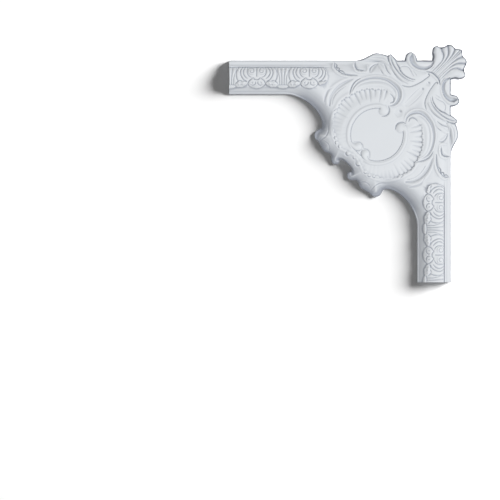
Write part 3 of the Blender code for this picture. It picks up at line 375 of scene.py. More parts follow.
def arm_motif(u, b, on):
    """One repeat of the band's ornament: a pair of spirals over a flower, leaves, and a fluted calyx.

    u runs from the flower's middle to the calyx's middle, and on says where the ornament stands."""
    h = np.zeros(len(u))
    half = PERIOD / 2

    def cut(points, depth):
        """Cuts a crease along a path of (u, b, half width)."""
        line = spline(points)
        widest = line[:, 2].max()
        spots = np.stack([u, b], 1)
        low, high = line[:, :2].min(0) - widest, line[:, :2].max(0) + widest
        idx = np.flatnonzero(((spots > low) & (spots < high)).all(1) & on)
        if len(idx) == 0:
            return
        d, _, along = nearest(spots[idx], line)
        wide = np.interp(along, np.arange(len(line)), line[:, 2])
        ok = d < wide
        h[idx[ok]] -= depth * SHAPES["crease"](d[ok] / wide[ok]) * (wide[ok] / widest) ** 0.7

    # ground of the ornament stands over the ovolo, with its lower edge scalloped
    lower = np.interp(u, [0, 5.2, 9.5, 12.4, 14.5, 19, 25, 28, 30.5, half],
                      [38.1, 37.2, 34.6, 32.0, 33.6, 36.4, 36.6, 35.2, 37.6, 38.3])
    rise = smooth(lower - b, -0.5, 1.0) * smooth(b, 8.9, 10.0)
    h += 1.7 * rise * on
    # spiral: a coil round a small eye
    from_u, from_b = u - SPIRAL[0], b - SPIRAL[1]
    r = np.hypot(from_u, from_b)
    turn = np.arctan2(from_b, from_u)
    coil = (0.5 - 0.5 * np.cos(2 * np.pi * (r - 0.55 * turn) / SPIRAL_PITCH)) ** 2
    groove = 1.2 * coil * smooth(SPIRAL_RADIUS - r, 0, 1.2) * smooth(r, 0.8, 1.8)
    h += on * (0.9 * ball(r / SPIRAL_RADIUS) - groove)
    # stem between the spirals
    cut([(0, 9.5, 1.0), (0, 15, 1.4), (0, 20, 1.4), (0.4, 22, 0.6)], 1.8)
    # leaves that rise and curl outwards round the spirals
    leaves = [
        [(11.8, 9.5, 1.0), (12.8, 13, 1.6), (12.6, 17, 1.6), (10.6, 21, 1.4), (7, 23, 0.8)],
        [(15, 9.3, 1.0), (17.6, 13.5, 1.7), (18, 17.5, 1.7), (15.8, 21.8, 1.7), (12.6, 24.6, 0.9)],
        [(19, 9.3, 1.0), (21.6, 13.5, 1.7), (21.9, 17.5, 1.7), (20.2, 22.5, 1.7), (17, 26.5, 1.5),
         (13, 28.5, 0.9)],
        [(24.2, 9.3, 1.0), (26.8, 14, 1.7), (27.6, 18.5, 1.7), (27, 24, 1.7), (25, 28.5, 1.1)],
    ]
    for leaf in leaves:
        cut(leaf, 1.9)
    # flower: three soft petals inside a bracket-shaped edge
    cut([(0, 26.0, 1.0), (2.4, 25.8, 1.2), (4.6, 23.6, 1.2), (7.6, 25.4, 1.2), (10.6, 28.4, 1.5),
         (11.6, 31.4, 1.5), (10.2, 34.6, 1.0)], 1.9)
    h += on * 1.1 * ball(np.hypot((u - 4.4) / 5.6, (b - 30.0) / 4.4))
    h += on * 0.9 * ball(np.hypot(u / 4.8, (b - 35.0) / 3.2))
    cut([(1.8, 28.4, 0.6), (1.4, 30.6, 1.2), (2.6, 32.8, 1.2), (5.4, 33.6, 1.1), (8.4, 32.6, 0.5)], 1.9)
    cut([(5.0, 28.8, 0.5), (6.4, 30.4, 1.0), (5.6, 31.6, 0.5)], 1.5)
    # lumpy leaf beside the flower, under a wavy edge
    cut([(12.8, 29.8, 0.9), (15.4, 27.8, 1.2), (19, 28.2, 1.2), (22.4, 27.2, 1.2), (26, 28.6, 1.2),
         (28.4, 31.6, 0.8)], 1.2)
    for lump_u, lump_b, size in LUMPS:
        h += on * 1.3 * ball(np.hypot(u - lump_u, b - lump_b) / size)
    # calyx: upright flutes that spread to the groove, over a low bulb
    v = half - u
    spread = 1.0 + 0.75 * smooth(26 - b, 0, 16)
    zone = on * smooth(7.2 * spread / 1.3 - v, 0, 1.2) * smooth(b, 9.4, 10.6) * smooth(33.5 - b, 0, 1.5)
    h -= zone * 1.3 * (0.5 - 0.5 * np.cos(2 * np.pi * v / (3.1 * spread))) ** 2
    h += on * 0.9 * ball(np.hypot(v / 7.0, (b - 35.4) / 2.6))
    cut([(half - 7.6, 33.6, 1.0), (half - 3.5, 33.2, 1.3), (half, 33.2, 1.3)], 1.4)
    return h


# the fluted shell: where its edge dips between two flutes, the middle of its fan, and the disc it surrounds
NOTCHES = [(87.0, 40.4), (94.5, 39.3), (102.8, 39.2), (110.6, 38.2), (117.6, 39.2), (124.5, 41.2),
           (130.9, 44.0), (138.6, 48.6), (145.6, 52.0), (149.8, 57.8), (153.0, 62.8), (155.6, 69.4),
           (159.0, 76.0), (160.0, 81.8), (160.5, 87.8), (159.2, 94.0), (156.6, 99.8), (154.6, 106.2),
           (152.0, 111.6), (146.2, 120.4), (141.7, 121.4), (138.4, 128.0), (131.2, 131.2)]
SHELL_END = [(83.5, 57.2), (79.2, 56.4), (77.2, 53.2), (78.6, 48.6), (82.6, 45.4)]
SCALLOP = 1.7           # how far a lobe stands out between two notches
FAN = (104.0, 97.0)
DISC = (100.0, 100.5)
# half widths of a flute's valley, and of the crease at its tip, at distances from its notch
FLUTE = [(-0.8, 0.9), (2.5, 2.5), (7, 2.5), (14, 1.0)]
FLUTE_TIP = [(-0.6, 0.9), (2, 1.5), (6, 0.6)]
BOWL_LEVEL = 15.4           # height of the fluted field at its outer edge, and how far it rises to the disc
BOWL_RISE = 1.9
BOWL_SLOPE = (42, 59)       # distances from the disc's middle between which it rises
BOWL_BLEND = (30, 70)       # values of a - b between which the field takes over from the form below it
FLUTE_DEPTH = (0.15, 0.6)   # depth of every valley, and what the boldest ones have on top
FLUTE_TIP_DEPTH = 0.5
FLUTE_FADE = (44, 92)       # the flutes are bold down to the first b, and plain past the second
FLUTE_UNEVEN = (0.28, 2.4)  # share by which their lengths differ, and the turn from one to the next
# the small beads that go on round the fluted edge where the inner scrolls meet it, as (a, b, radius)
BEADS = [(156.1, 104.5, 2.6), (154.7, 110.9, 2.8), (150.4, 116.0, 2.9), (139.0, 125.6, 4.0),
         (131.0, 131.0, 2.4)]
# the crease round a bead's outer side: the turn from its middle, and the half width as a share of the radius
CRESCENT = [(-1.3, 0.15), (-0.6, 0.35), (0, 0.45), (0.6, 0.35), (1.3, 0.15)]
CRESCENT_RADIUS = 0.85


def towards(start, goal, distance):
    """The point a distance along the way from one place to another."""
    size = math.dist(start, goal)
    return (start[0] + (goal[0] - start[0]) * distance / size,
            start[1] + (goal[1] - start[1]) * distance / size)


def fan_line(notch, widths, stretch):
    """A line from a notch in towards the middle of the fan, as (a, b, half width)."""
    return [(*towards(notch, FAN, stretch * far), wide) for far, wide in widths]


def disc_arc(radius, first, last, count):
    """Points on a circle round the disc, between two angles in degrees."""
    turns = np.radians(np.linspace(first, last, count))
    return [(DISC[0] + radius * math.cos(t), DISC[1] + radius * math.sin(t)) for t in turns]


def scalloped(notches):
    """The notches, with a round lobe standing out between each two."""
    out = [notches[0]]
    for last, notch in zip(notches, notches[1:]):
        middle = ((last[0] + notch[0]) / 2, (last[1] + notch[1]) / 2)
        out += [towards(middle, DISC, -SCALLOP), notch]
    return out


def shell_and_rings(c):
    """Fluted shell round the disc, the two rolled rings, and the big C scrolls that hold it."""
    a, b = c.p[:, 0], c.p[:, 1]
    # big C scroll: a rim that leans over a hollow on the disc's side
    outer_c = [(135.2, 43.2, 0.8), (133.0, 37.5, 1.5), (129.2, 31.6, 2.0), (124, 27.8, 2.2),
               (118, 25, 2.4), (110, 22.9, 2.6), (102, 22.2, 2.8), (94, 23, 3.0), (86.5, 25, 3.4),
               (79.5, 29, 3.8), (73.3, 34.2, 4.2), (69.5, 39.8, 4.2), (68.3, 46, 4.0), (69.4, 52.2, 3.6),
               (72.9, 57.8, 3.0), (78.2, 61.2, 2.2), (83.8, 62.0, 1.0)]
    c.stroke(outer_c, 2.6, "bank", side=-1, power=1.0)
    # the hollow, and a thin raised line along it
    c.stroke([(131, 41, 1.5), (127.6, 36.2, 3.0), (121, 31.2, 3.8), (110, 28.8, 4.0), (102, 28.2, 4.0),
              (94, 29.2, 4.0), (87, 31.2, 4.0), (81.4, 34.4, 4.0), (77.6, 39, 3.4), (75.8, 46, 2.6),
              (77, 52, 1.4)], -0.5, "soft")
    c.stroke([(132.4, 42.6, 0.6), (129.0, 36.0, 1.2), (123.0, 31.2, 1.5), (113, 28.0, 1.6),
              (102, 27.0, 1.6), (94, 27.8, 1.6), (87, 29.8, 1.6), (80.4, 33.6, 1.6), (75.6, 39, 1.6),
              (73.6, 45, 1.5), (74.2, 51, 1.2), (76.6, 55.4, 0.7)], 0.5, "soft")
    # raised edge round the scallops
    c.stroke([(131.4, 128, 1.6), (141, 123.5, 2.6), (152, 117.5, 2.6), (158, 108, 2.6), (161.8, 97, 2.4),
              (163, 85, 2.4), (161, 75, 2.6), (156.5, 64.5, 2.8), (150.5, 54, 3.0), (141, 47.2, 3.4),
              (134.5, 43.2, 3.6), (128.5, 37.6, 3.8), (121, 34, 4.2), (112, 32.2, 4.2), (103, 32, 4.2),
              (94, 32.6, 4.2), (86.5, 35.4, 4.2), (80.6, 40.4, 3.8), (76, 46.2, 3.0),
              (74.6, 52, 2.0)], 0.7, "soft")
    # fluted field, sunk inside its scalloped edge
    sunk = smooth(c.region(SHELL_END + scalloped(NOTCHES) + disc_arc(43, 44, -104, 30), 1.6), 0, 1)
    r = np.hypot(a - DISC[0], b - DISC[1])
    near, far = BOWL_SLOPE
    bowl = BOWL_LEVEL + BOWL_RISE * smooth(-r, -far, -near)
    clear = smooth(a - b, *BOWL_BLEND)
    bowl = np.minimum(bowl * clear + (c.h - 0.1) * (1 - clear), c.h - 0.1)
    c.h = c.h * (1 - sunk) + bowl * sunk
    plain_depth, bold_depth = FLUTE_DEPTH
    share, pace = FLUTE_UNEVEN
    for i, notch in enumerate(NOTCHES[:-1]):
        bold = 1 - smooth(notch[1], *FLUTE_FADE)
        stretch = 1 + share * math.sin(pace * i)
        c.stroke(fan_line(notch, FLUTE, stretch), -plain_depth - bold_depth * bold * stretch, "soft",
                 power=1.0)
        c.stroke(fan_line(notch, FLUTE_TIP, stretch), -FLUTE_TIP_DEPTH * bold, "crease")
    # round end of the shell under the C
    c.stroke([(83.5, 44.6, 0.5), (79.6, 47.9, 1.5), (77.6, 52.2, 1.9), (78.6, 56.0, 2.0),
              (82.4, 57.4, 1.2)], -1.8, "crease")
    # disc, level with the open field towards the corner
    t = np.degrees(np.arctan2(b - DISC[1], a - DISC[0]))
    opening = 1 - smooth(t, -108, -100)
    disc = DISC_LEVEL - DISC_SINK * smooth(r, DISC_RADIUS - DISC_SINK_WIDTH, DISC_RADIUS) * (1 - opening)
    c.h = np.where(r < DISC_RADIUS, disc, c.h)
    ramp = (DISC_LEVEL - FIELD_LEVEL) * opening * (1 - smooth(r, DISC_RADIUS, 58))
    c.h = np.where((r >= DISC_RADIUS) & (r < 62), c.h + ramp, c.h)
    # rolled ring between shell and disc, with a knob at each end
    ring_path = [(125.8, 116.2, 5.4), (129.6, 117.2, 5.0), (134.8, 114.8, 4.0)]
    ring_path += [(*p, 3.5) for p in disc_arc(RING_RADIUS, 14, -96, 24)]
    ring_path += [(92.6, 63.4, 5.0), (91.4, 67.6, 7.2)]
    c.form(ring_path, RING_FOOT, RING_RISE, "roll")
    # creases round the knobs, first the upper one and then the lower one's two sides
    c.stroke([(85.4, 61.2, 0.9), (83.6, 66, 1.9), (84.6, 71.2, 2.2), (88.2, 74.6, 2.0), (93.6, 75.6, 0.9)],
             -1.8, "crease")
    c.stroke([(138.2, 109.1, 0.7), (134, 117.0, 1.4), (129, 121.4, 1.7), (125, 122.2, 1.7),
              (120.8, 120.4, 1.2)], -0.9, "crease")
    c.stroke([(131.6, 110.2, 1.0), (128.2, 110.0, 1.4), (123.4, 110.4, 1.6), (120.0, 113.8, 1.6),
              (119.0, 118.2, 1.2)], -0.8, "crease")


def axis_ornaments(c):
    """Dishes and dimples on the diagonal, and the slim rod between them."""
    # dish beside the disc, with its dimple
    c.blob((71.4, 71.4), (6.4, 6.4), -0.9, "dome")
    c.blob((68.6, 68.6), (2.4, 3.2), -0.9, "soft", turn=45)
    # rod: a long hollow with a crease along either side
    c.stroke([(60.4, 60.4, 3.4), (54, 54, 4.4), (46, 46, 4.2), (38.6, 38.6, 2.8)], -0.5, "dome")
    c.stroke([(62.6, 58.0, 0.6), (56.4, 50.4, 1.2), (48.4, 42.4, 1.2), (41.4, 36.8, 0.6)], -0.6, "crease")
    # dimples by the collar
    c.blob((38.4, 38.4), (1.8, 2.4), -0.9, "soft", turn=45)
    c.blob((31.6, 31.6), (4.0, 4.0), -0.6, "dome")
    c.blob((30.0, 30.0), (1.6, 2.2), -0.9, "soft", turn=45)


def narrowing(points, wide, end):
    """Gives a path of (a, b) a half width that runs evenly from one value to another."""
    n = len(points) - 1
    return [(a, b, wide + (end - wide) * i / n) for i, (a, b) in enumerate(points)]


def corner_shell(c, d_out):
    """Scallop shell that fans over the outer corner, and the C scroll that its outer lobe rolls into."""
    a, b = c.p[:, 0], c.p[:, 1]
    # body of the scroll: lip, channel and head in one ribbon that the shell's outer lobe carries on
    body = [(55.2, -9.4, 4.4), (54.8, -4.6, 6.6), (54.2, 0.6, 6.4), (51.6, 5.4, 6.0), (47.0, 9.4, 5.4),
            (41, 11.6, 4.6), (35, 12.0, 4.0), (29.6, 10.6, 3.6), (26.2, 7.4, 3.8)]
    c.form(body, 15.4, 2.1, "dome")
    side = [(27.5, -26), (27.3, 1), (26.2, 6), (26.8, 11), (29, 14), (27.2, 16), (24, 18.4)]
    loop = side + [(y, x) for x, y in reversed(side)] + [(-30, -30)]
    reach = smooth(c.region(loop, 4.5), 0, 1)
    base = 17.2 + 1.8 * smooth(d_out, 0, 5) + 1.0 * smooth(d_out, 4, 14) - 2.4 * smooth((a + b) / 2, 6, 20)
    c.h = c.h * (1 - reach) + base * reach
    # outer lobe: a smooth round leaf end
    c.stroke([(20.2, -17, 3.2), (19.4, -12.6, 5.8), (18.6, -7.4, 6.2), (20, -2, 5.2), (22.6, 2.6, 4.2),
              (25.4, 6.4, 3.2), (28.4, 9.4, 2.0)], 1.3, "dome")
    # channel along the scroll, from a deep head to a faint end on the lobe
    channel = [(52.4, -7.6, 1.4), (52.9, -4.4, 3.2), (52.7, -0.6, 3.4), (50.6, 3.8, 3.0),
               (46.4, 7.6, 2.6), (41.4, 9.8, 2.3), (35.6, 10.4, 2.1), (30.2, 9.2, 2.2), (26.4, 6.0, 2.0),
               (24, 2.2, 1.0)]
    c.stroke(channel, -4.6, "lean", side=1)
    c.stroke(channel, -2.4, "dome")
    c.stroke([(57.0, -4.6, 0.8), (56.4, 0.4, 1.3), (53.6, 5.0, 1.5), (49.4, 9.0, 1.5), (44.4, 11.6, 1.4),
              (38.6, 12.9, 1.3), (32.6, 12.9, 0.8)], -2.0, "crease")
    # creases fan out from the neck; each pair of flutes meets in one
    creases = [
        [(13.2, -16.4), (12.1, -12.5), (10.4, -6.7), (12.1, 0), (16.7, 5.8), (22.5, 11.7), (26.8, 15.8)],
        [(4.3, -18.4), (3.8, -10.8), (5.0, -5.8), (8.3, 0), (12.5, 5), (17.5, 10.8), (24.0, 17.2)],
        [(-5.2, -16.4), (-3.9, -12.5), (-2.0, -8.4), (0.8, -4.2), (4.6, 0.6), (9.6, 5.9), (15.2, 11.7),
         (22.0, 18.4)],
        [(-11.4, -13.2), (-4.2, -5.6), (3.3, 2.2), (8.4, 7.2), (14.2, 13), (20.8, 19.4)],
    ]
    for crease, wide, depth in zip(creases, (3.6, 4.0, 3.8, 2.0), (4.0, 4.2, 4.2, 2.3)):
        c.stroke(narrowing(crease, wide, 0.32 * wide), -depth, "crease", power=1.35)
    c.step(narrowing(creases[0], 3.0, 1.0), 0.8, -1)
    # collar where the shell's neck meets the leaves
    collar = [(33, 15.0, 0.8), (30, 15.6, 1.5), (26.8, 16.4, 1.9), (24.2, 17.8, 2.0), (21.8, 19.8, 2.0),
              (19.8, 21.8, 2.0)]
    c.stroke(collar, -2.3, "crease")
    c.stroke([(x + 1.4, y + 1.4, w) for x, y, w in collar], 0.7, "soft")


def big_leaf(c):
    """Acanthus leaf that springs from the spike on the outer edge and sweeps round to the collar."""
    lower = [(66.4, 33.4), (62, 35.1), (56, 35.6), (50, 33.8), (44.4, 31.2), (39.2, 28.2), (35.6, 25.6),
             (32.6, 23.4), (30.2, 21.4)]
    loop = [(84, -8), (84.5, 0), (82, 9), (77, 19), (71.5, 27.5)] + lower
    loop += [(27, 17), (31, 14.4), (38, 14.6), (46, 13.2), (54, 8.4), (60, 3), (70, 1), (76, -2), (80, -8)]
    c.h += 0.7 * smooth(c.region(loop, 6.0), 0, 1)
    # the spike's bright rib, and the rib between the two long creases
    c.stroke([(83.2, -8, 1.6), (83.0, -2, 2.3), (81.4, 4.0, 2.6), (78.8, 10, 2.8), (75.4, 15.6, 2.8),
              (71, 21.0, 2.6), (65.4, 26.2, 2.2), (58, 30.4, 1.4)], 1.4, "soft")
    c.stroke([(79.4, -3.6, 0.9), (77.6, 3, 1.6), (74.8, 8.6, 2.0), (71.4, 13.6, 2.1), (67.4, 18.2, 2.0),
              (61.6, 22.6, 1.5), (55, 25.4, 0.8)], 0.9, "soft")
    lower_crease = [(66.4, 33.6, 0.7)] + [(x, y, 1.25) for x, y in lower[1:]]
    lower_crease += [(29.6, 20.2, 1.2), (30.8, 18.2, 1.0)]
    for line, depth in (
            # long crease down the spike's right side
            ([(81.6, -6, 0.9), (81.2, -1, 1.9), (79.6, 3.6, 2.1), (76.8, 8.6, 2.0), (73.4, 13.4, 1.9),
              (69.4, 17.8, 1.8), (64.4, 22.6, 1.6), (57.6, 26.8, 1.2), (50, 28.4, 0.7)], -1.5),
            # crisp crease inside it
            ([(75.2, 0.8, 0.9), (72.4, 6.2, 1.5), (70.4, 9.4, 1.9), (68.9, 13.2, 1.8), (66.3, 17.0, 1.6),
              (62.6, 20.5, 1.5), (58.6, 23.0, 1.4), (54.2, 24.9, 1.2), (49, 26.0, 0.7)], -2.4),
            ([(69.4, 9.4, 1.0), (65.4, 7.9, 1.4), (61.0, 8.0, 1.5), (57.0, 10.2, 1.5), (54.8, 14.0, 1.5),
              (52.6, 18.4, 1.2), (50.2, 21.6, 0.6)], -0.9),
            ([(51.4, 13.6, 0.5), (49, 17.2, 1.2), (46, 21.4, 0.5)], -0.7),
            (lower_crease, -1.5),
            # left side of the spike, and a fine line below it
            ([(86, -7.4, 0.6), (85.2, -2.6, 1.6), (83.8, 2.6, 1.7), (81.0, 7.4, 0.8)], -1.8),
            ([(80.4, 12, 0.6), (76.8, 18.0, 1.4), (72.2, 24, 1.2), (67, 28.6, 0.5)], -0.7)):
        c.stroke(line, depth, "crease")
    c.blob((30.6, 18.6), (1.8, 1.8), -0.8, "soft")


def hump_leaves(c):
    """Overlapping leaves along the outer edge, from the spike to the band's ornament."""
    # broad leaf on the hump, its lower edge standing over the field
    c.stroke([(114, -2.6, 1.5), (105, -4.4, 4.4), (97, -3.8, 5.4), (90, -1.0, 4.8), (85.6, 3, 3.0)], 2.6,
             "dome")
    c.stroke([(108, -4.2, 0.8), (99, -4.2, 2.0), (92.5, -2.8, 2.4), (88, 0.2, 1.8), (85.6, 3.4, 1.0)],
             -1.0, "soft")
    c.step([(117, 1.2, 1.5), (108, 2.4, 3.0), (98, 2.2, 4.0), (91.5, 2.0, 3.6), (87.4, 4.4, 2.4),
            (84, 8, 1.0)], 1.1, 1)
    # two dark crescents below it, with a raised fold between
    c.stroke([(90.4, 4.6, 0.6), (88.8, 8.0, 1.7), (87.4, 12.0, 2.1), (85.0, 15.8, 1.7), (82.2, 19.0, 0.8)],
             -1.7, "crease")
    c.stroke([(95.6, 12.4, 0.5), (93.8, 15.6, 1.4), (91.2, 18.8, 0.6)], -1.0, "crease")
    c.stroke([(98, 5, 1.6), (94.4, 10, 3.2), (90.6, 16, 3.0), (85.4, 20.8, 1.5)], 0.9, "soft")
    # hollow leaf over the C scroll
    c.stroke([(99, 4.5, 1.5), (103.6, 8.2, 3.2), (106.4, 12.4, 2.8), (108.6, 16.4, 1.2)], -1.0, "soft")
    c.stroke([(101, 4.6, 0.8), (106.6, 7.6, 2.1), (109.6, 11.6, 2.4), (109.8, 16, 1.2)], -2.0, "crease")
    c.stroke([(113.4, 6.6, 1.4), (112.6, 11, 2.4), (114.4, 15.6, 1.4)], 0.8, "soft")
    # second leaf: a hollow crescent with its tip on the fillet
    c.step([(130.4, 2.8, 1.6), (130.4, 8, 4.2), (127.6, 12.6, 4.6), (121.8, 14.2, 3.4), (117, 13.4, 1.0)],
           4.4, 1)
    c.stroke([(131, 2.8, 0.7), (132.2, 8, 1.6), (129.4, 13.6, 1.9), (123.4, 16.2, 1.9), (116, 15.4, 1.2)],
             0.9, "soft")
    # first leaf: toothed, running into the C scroll
    c.step([(158.2, 3.4, 1.6), (158.2, 8.2, 4.4), (154.2, 13.8, 5.2), (147.6, 18.2, 5.0),
            (138.8, 20.4, 4.0), (128, 20.8, 2.0)], 3.4, 1)
    c.stroke([(159, 3.6, 0.8), (160.2, 8.6, 1.7), (156.2, 15.2, 1.9), (148.8, 20.0, 1.9),
              (138, 22.4, 1.6), (126, 22.4, 0.9)], 0.9, "soft")
    c.stroke([(157.0, 3.6, 0.6), (154.4, 6.6, 1.4), (155.2, 9.0, 1.3), (151.4, 10.8, 1.5),
              (152.0, 13.6, 1.3), (147.4, 14.4, 1.4), (144.2, 17.2, 0.7)], -2.4, "crease")


def fronds(c):
    """Long flutes that sweep from the arm down to the inner edge."""
    for line, depth, shape in (
            ([(132.6, 25.4, 0.8), (138, 27.6, 2.2), (143.6, 30.4, 3.0), (151.3, 35.5, 3.6),
              (157, 41.2, 3.8), (160.8, 47.2, 3.6), (163.2, 53, 3.0), (164.4, 61, 1.6)], -1.7, "soft"),
            ([(131.6, 24.6, 0.6), (138, 26.2, 1.2), (143.6, 28.8, 1.5), (151.7, 33.5, 1.6),
              (157.8, 39.6, 1.6), (161.9, 45.6, 1.4), (164.2, 51, 0.8)], -0.4, "crease"),
            ([(142.6, 34.8, 0.7), (151.7, 40.9, 1.7), (157.1, 47, 1.9), (159.8, 52.4, 1.8),
              (161, 59.5, 0.9)], -1.1, "crease"),
            ([(158.8, 35.9, 0.8), (166.6, 41.6, 2.6), (170, 48.7, 2.4), (171.4, 56, 1.0)], -0.9, "soft"),
            ([(122.5, 24.2, 0.6), (127.6, 26.8, 1.7), (131.6, 30.8, 2.6), (134.8, 36.6, 2.8),
              (136.4, 42, 2.3), (137.6, 47.6, 0.9)], -2.2, "crease"),
            ([(155.0, 64.6, 0.8), (157.0, 66.8, 1.8), (159.4, 68.6, 0.8)], -1.3, "crease")):
        c.stroke(line, depth, shape)
    c.stroke([(136, 23.6, 1.0), (146, 26.6, 2.4), (157, 33.2, 2.8), (164.6, 42.0, 2.8), (167.6, 52, 2.2),
              (168, 61, 1.0)], 0.7, "soft")


def inner_scrolls(c):
    """Shallow channels that curl into the small scrolls on the inner outline, and the beads above them."""
    c.stroke([(178.6, 68, 2.0), (174.2, 75.6, 3.4), (172.2, 84, 4.2), (173.6, 92.4, 4.6),
              (178, 98.4, 4.6), (181, 102.4, 3.6)], -0.8, "soft")
    c.stroke([(165.8, 88, 0.8), (166, 96, 1.6), (170, 103.2, 1.9), (175.6, 107.8, 1.2)], -1.0, "crease")
    c.stroke([(144, 134.4, 1.4), (149, 132.4, 2.6), (154, 133.6, 3.2), (156, 137.4, 2.4)], -0.8, "soft")
    c.stroke([(172, 108, 0.6), (166.6, 112, 1.4), (164, 118, 1.4), (165, 122.6, 0.6)], -0.8, "crease")
    for bead_a, bead_b, size in BEADS:
        c.blob((bead_a, bead_b), (size, size), 0.28 * size, "soft")
        away = math.atan2(bead_b - DISC[1], bead_a - DISC[0])
        crescent = [(bead_a + CRESCENT_RADIUS * size * math.cos(away + turn),
                     bead_b + CRESCENT_RADIUS * size * math.sin(away + turn), share * size)
                    for turn, share in CRESCENT]
        c.stroke(crescent, -1.5, "crease")


# where the arm's ornament ends towards the corner, as (a, b)
ARM_END = [(171.5, 9), (168.8, 13), (167.2, 18), (166.2, 22), (166.8, 27), (170, 31), (176, 33), (182, 36)]


def height(points):
    """Carves the piece over the given points; the result's h is the height over the wall in mm."""
    c = Carving(points)
    a, b = c.p[:, 0], c.p[:, 1]
    inner, outer = half_inner(EDGE_STEP), half_outer(EDGE_STEP)
    d_out = distance_to(c.p, np.array(outer + mirrored(outer)))
    d_edge = distance_to(c.p, np.array(inner + mirrored(inner)))
    # the ground falls half towards the real edge and half towards the line past the small scrolls
    fall = straight((ARM, BAND), INNER[0], EDGE_STEP) + chain([FALL_LINE], EDGE_STEP)
    d_in = (d_edge + distance_to(c.p, np.array(fall + mirrored(fall)))) / 2
    # plain ground: the band's profile on the arm, a raised field on the corner
    corner = 1 - smooth(a, 158, 186)
    plateau = 1 - smooth(a, 78, 104)
    outer_side = table(b, BAND_SIDE) * (1 - corner) + table(b, FIELD_SIDE) * corner
    outer_side = outer_side * (1 - plateau) + table(b, CORNER_SIDE) * plateau + table(d_out, EDGE)
    inner_side = table(d_in, INNER_SIDE)
    c.h = -np.logaddexp(-BLEND * outer_side, -BLEND * inner_side) / BLEND
    # ornament of the arm
    u = np.abs((a - FLOWER + PERIOD / 2) % PERIOD - PERIOD / 2)
    end = np.interp(b, [p[1] for p in ARM_END], [p[0] for p in ARM_END])
    on = smooth(a - end, 0, 0.8)
    c.h += ARM_DEPTH * arm_motif(u, b, on > 0) * on
    # ornament of the corner
    shell_and_rings(c)
    axis_ornaments(c)
    hump_leaves(c)
    big_leaf(c)
    fronds(c)
    inner_scrolls(c)
    corner_shell(c, d_out)
    # leaves and shell are rounded off at their free edge
    free = np.maximum(smooth(-b, -1.5, 1.0) * smooth(-a, -140, -120), plateau)
    c.h -= free * FREE_DROP * (1 - np.sqrt(1 - (1 - np.clip(d_out / FREE_REACH, 0, 1)) ** 2))
    # where shade is painted: along a free edge, along the inner edge on the corner, and deeper in the cove
    # on the inner side
    on_corner = 1 - smooth(a, 190, 215)
    outer_edge_shade = (0.3 + 0.7 * free) * (1 - smooth(d_out, 1.0, 3.0))
    c.rim = np.maximum(outer_edge_shade, 0.5 * on_corner * (1 - smooth(d_edge, 0.5, 3.5)))
    c.cove_shade = (0.4 + 0.6 * on_corner) * (1 - smooth(d_in, 8, 26)) + on_corner * (1 - smooth(d_in, 2, 10))
    return c


def flat_sheet():
    """The piece's outline filled with evenly spread triangles."""
    loop = full_outline(GRAIN * RIM_GRAIN)
    low, high = loop.min(0), loop.max(0)
    rows = np.arange(low[1], high[1], GRAIN * math.sqrt(3) / 2)
    grid = []
    for i, row in enumerate(rows):
        run = np.arange(low[0] + (i % 2) * GRAIN / 2, high[0], GRAIN)
        grid.append(np.stack([run, np.full(len(run), row)], 1))
    grid = np.vstack(grid)
    # most of the empty quarter between the arms is dropped first, to save time
    arms, field = grid.min(1) < 60, grid.sum(1) < 330
    grid = grid[arms | field]
    grid = grid[inside(grid, loop)]
    grid = grid[distance_to(grid, full_outline(FINE_STEP)) > RIM_GAP * GRAIN]
    count = len(loop)
    points = [tuple(p) for p in loop] + [tuple(p) for p in grid]
    rim = [(i, (i + 1) % count) for i in range(count)]
    spots, _, faces, _, _, _ = delaunay_2d_cdt(points, rim, [], 1, 1e-5)
    return np.array([(v.x, v.y) for v in spots]), faces


def painted_shade_tone(mesh, spots, carving):
    """Painted shade: hollow, steep, cove and free-edge places darker (to 0), plain ones 0.5, crests lighter
    (to 1).
    """
    rise = carving.h
    ends = np.empty(2 * len(mesh.edges), int)
    mesh.edges.foreach_get("vertices", ends)
    start, stop = ends.reshape(-1, 2).T
    count = len(rise)
    links = np.bincount(start, minlength=count) + np.bincount(stop, minlength=count)
    around = rise.copy()
    own, others = HOLLOW_BLEND
    for _ in range(HOLLOW_PASSES):
        total = np.bincount(start, around[stop], count) + np.bincount(stop, around[start], count)
        around = own * around + others * total / links
    slope = np.abs(rise[start] - rise[stop]) / np.hypot(*(spots[start] - spots[stop]).T)
    steepest = np.zeros(count)
    np.maximum.at(steepest, start, slope)
    np.maximum.at(steepest, stop, slope)
    # shade is painted darker below the ground around a point, on steep slopes and in the cove, and lighter
    # on crests
    hollow = (around - rise) / FULL_SHADE_DEPTH
    tone = PLAIN_TONE - 0.5 * hollow - 0.5 * smooth(steepest, *STEEP_SHADE) - COVE_SHADE_STRENGTH * carving.cove_shade
    return np.clip(np.maximum(tone, HOLLOW_SHADE_LEVEL) * (1 - carving.rim), 0, 1)


def carved_face():
    """The sheet raised to the carving, thinned where it is plain."""
    spots, faces = flat_sheet()
    carving = height(spots)
    mesh = bpy.data.meshes.new("carved_face")
    mesh.from_pydata([(a, b, h) for (a, b), h in zip(spots, carving.h)], [], faces)
    layer = mesh.attributes.new(PAINTED_SHADE_LAYER, "FLOAT", "POINT")
    layer.data.foreach_set("value", painted_shade_tone(mesh, spots, carving))
    obj = bpy.data.objects.new("carved_face", mesh)
    bpy.context.scene.collection.objects.link(obj)
    if len(faces) > SURFACE_FACES:
        from_disc = np.hypot(*(spots - CENTRE).T)
        free = (from_disc < DISC_EDGE[0]) | (from_disc > DISC_EDGE[1])
        group = obj.vertex_groups.new(name="may_thin")
        group.add(np.flatnonzero(free).tolist(), 1.0, "REPLACE")
        thin = obj.modifiers.new("thin", "DECIMATE")
        thin.ratio = SURFACE_FACES / len(faces)
        thin.vertex_group = group.name
    bpy.context.view_layer.update()
    ready = obj.evaluated_get(bpy.context.evaluated_depsgraph_get())
    thinned = bpy.data.meshes.new_from_object(ready)
    bpy.data.objects.remove(obj)
    return thinned


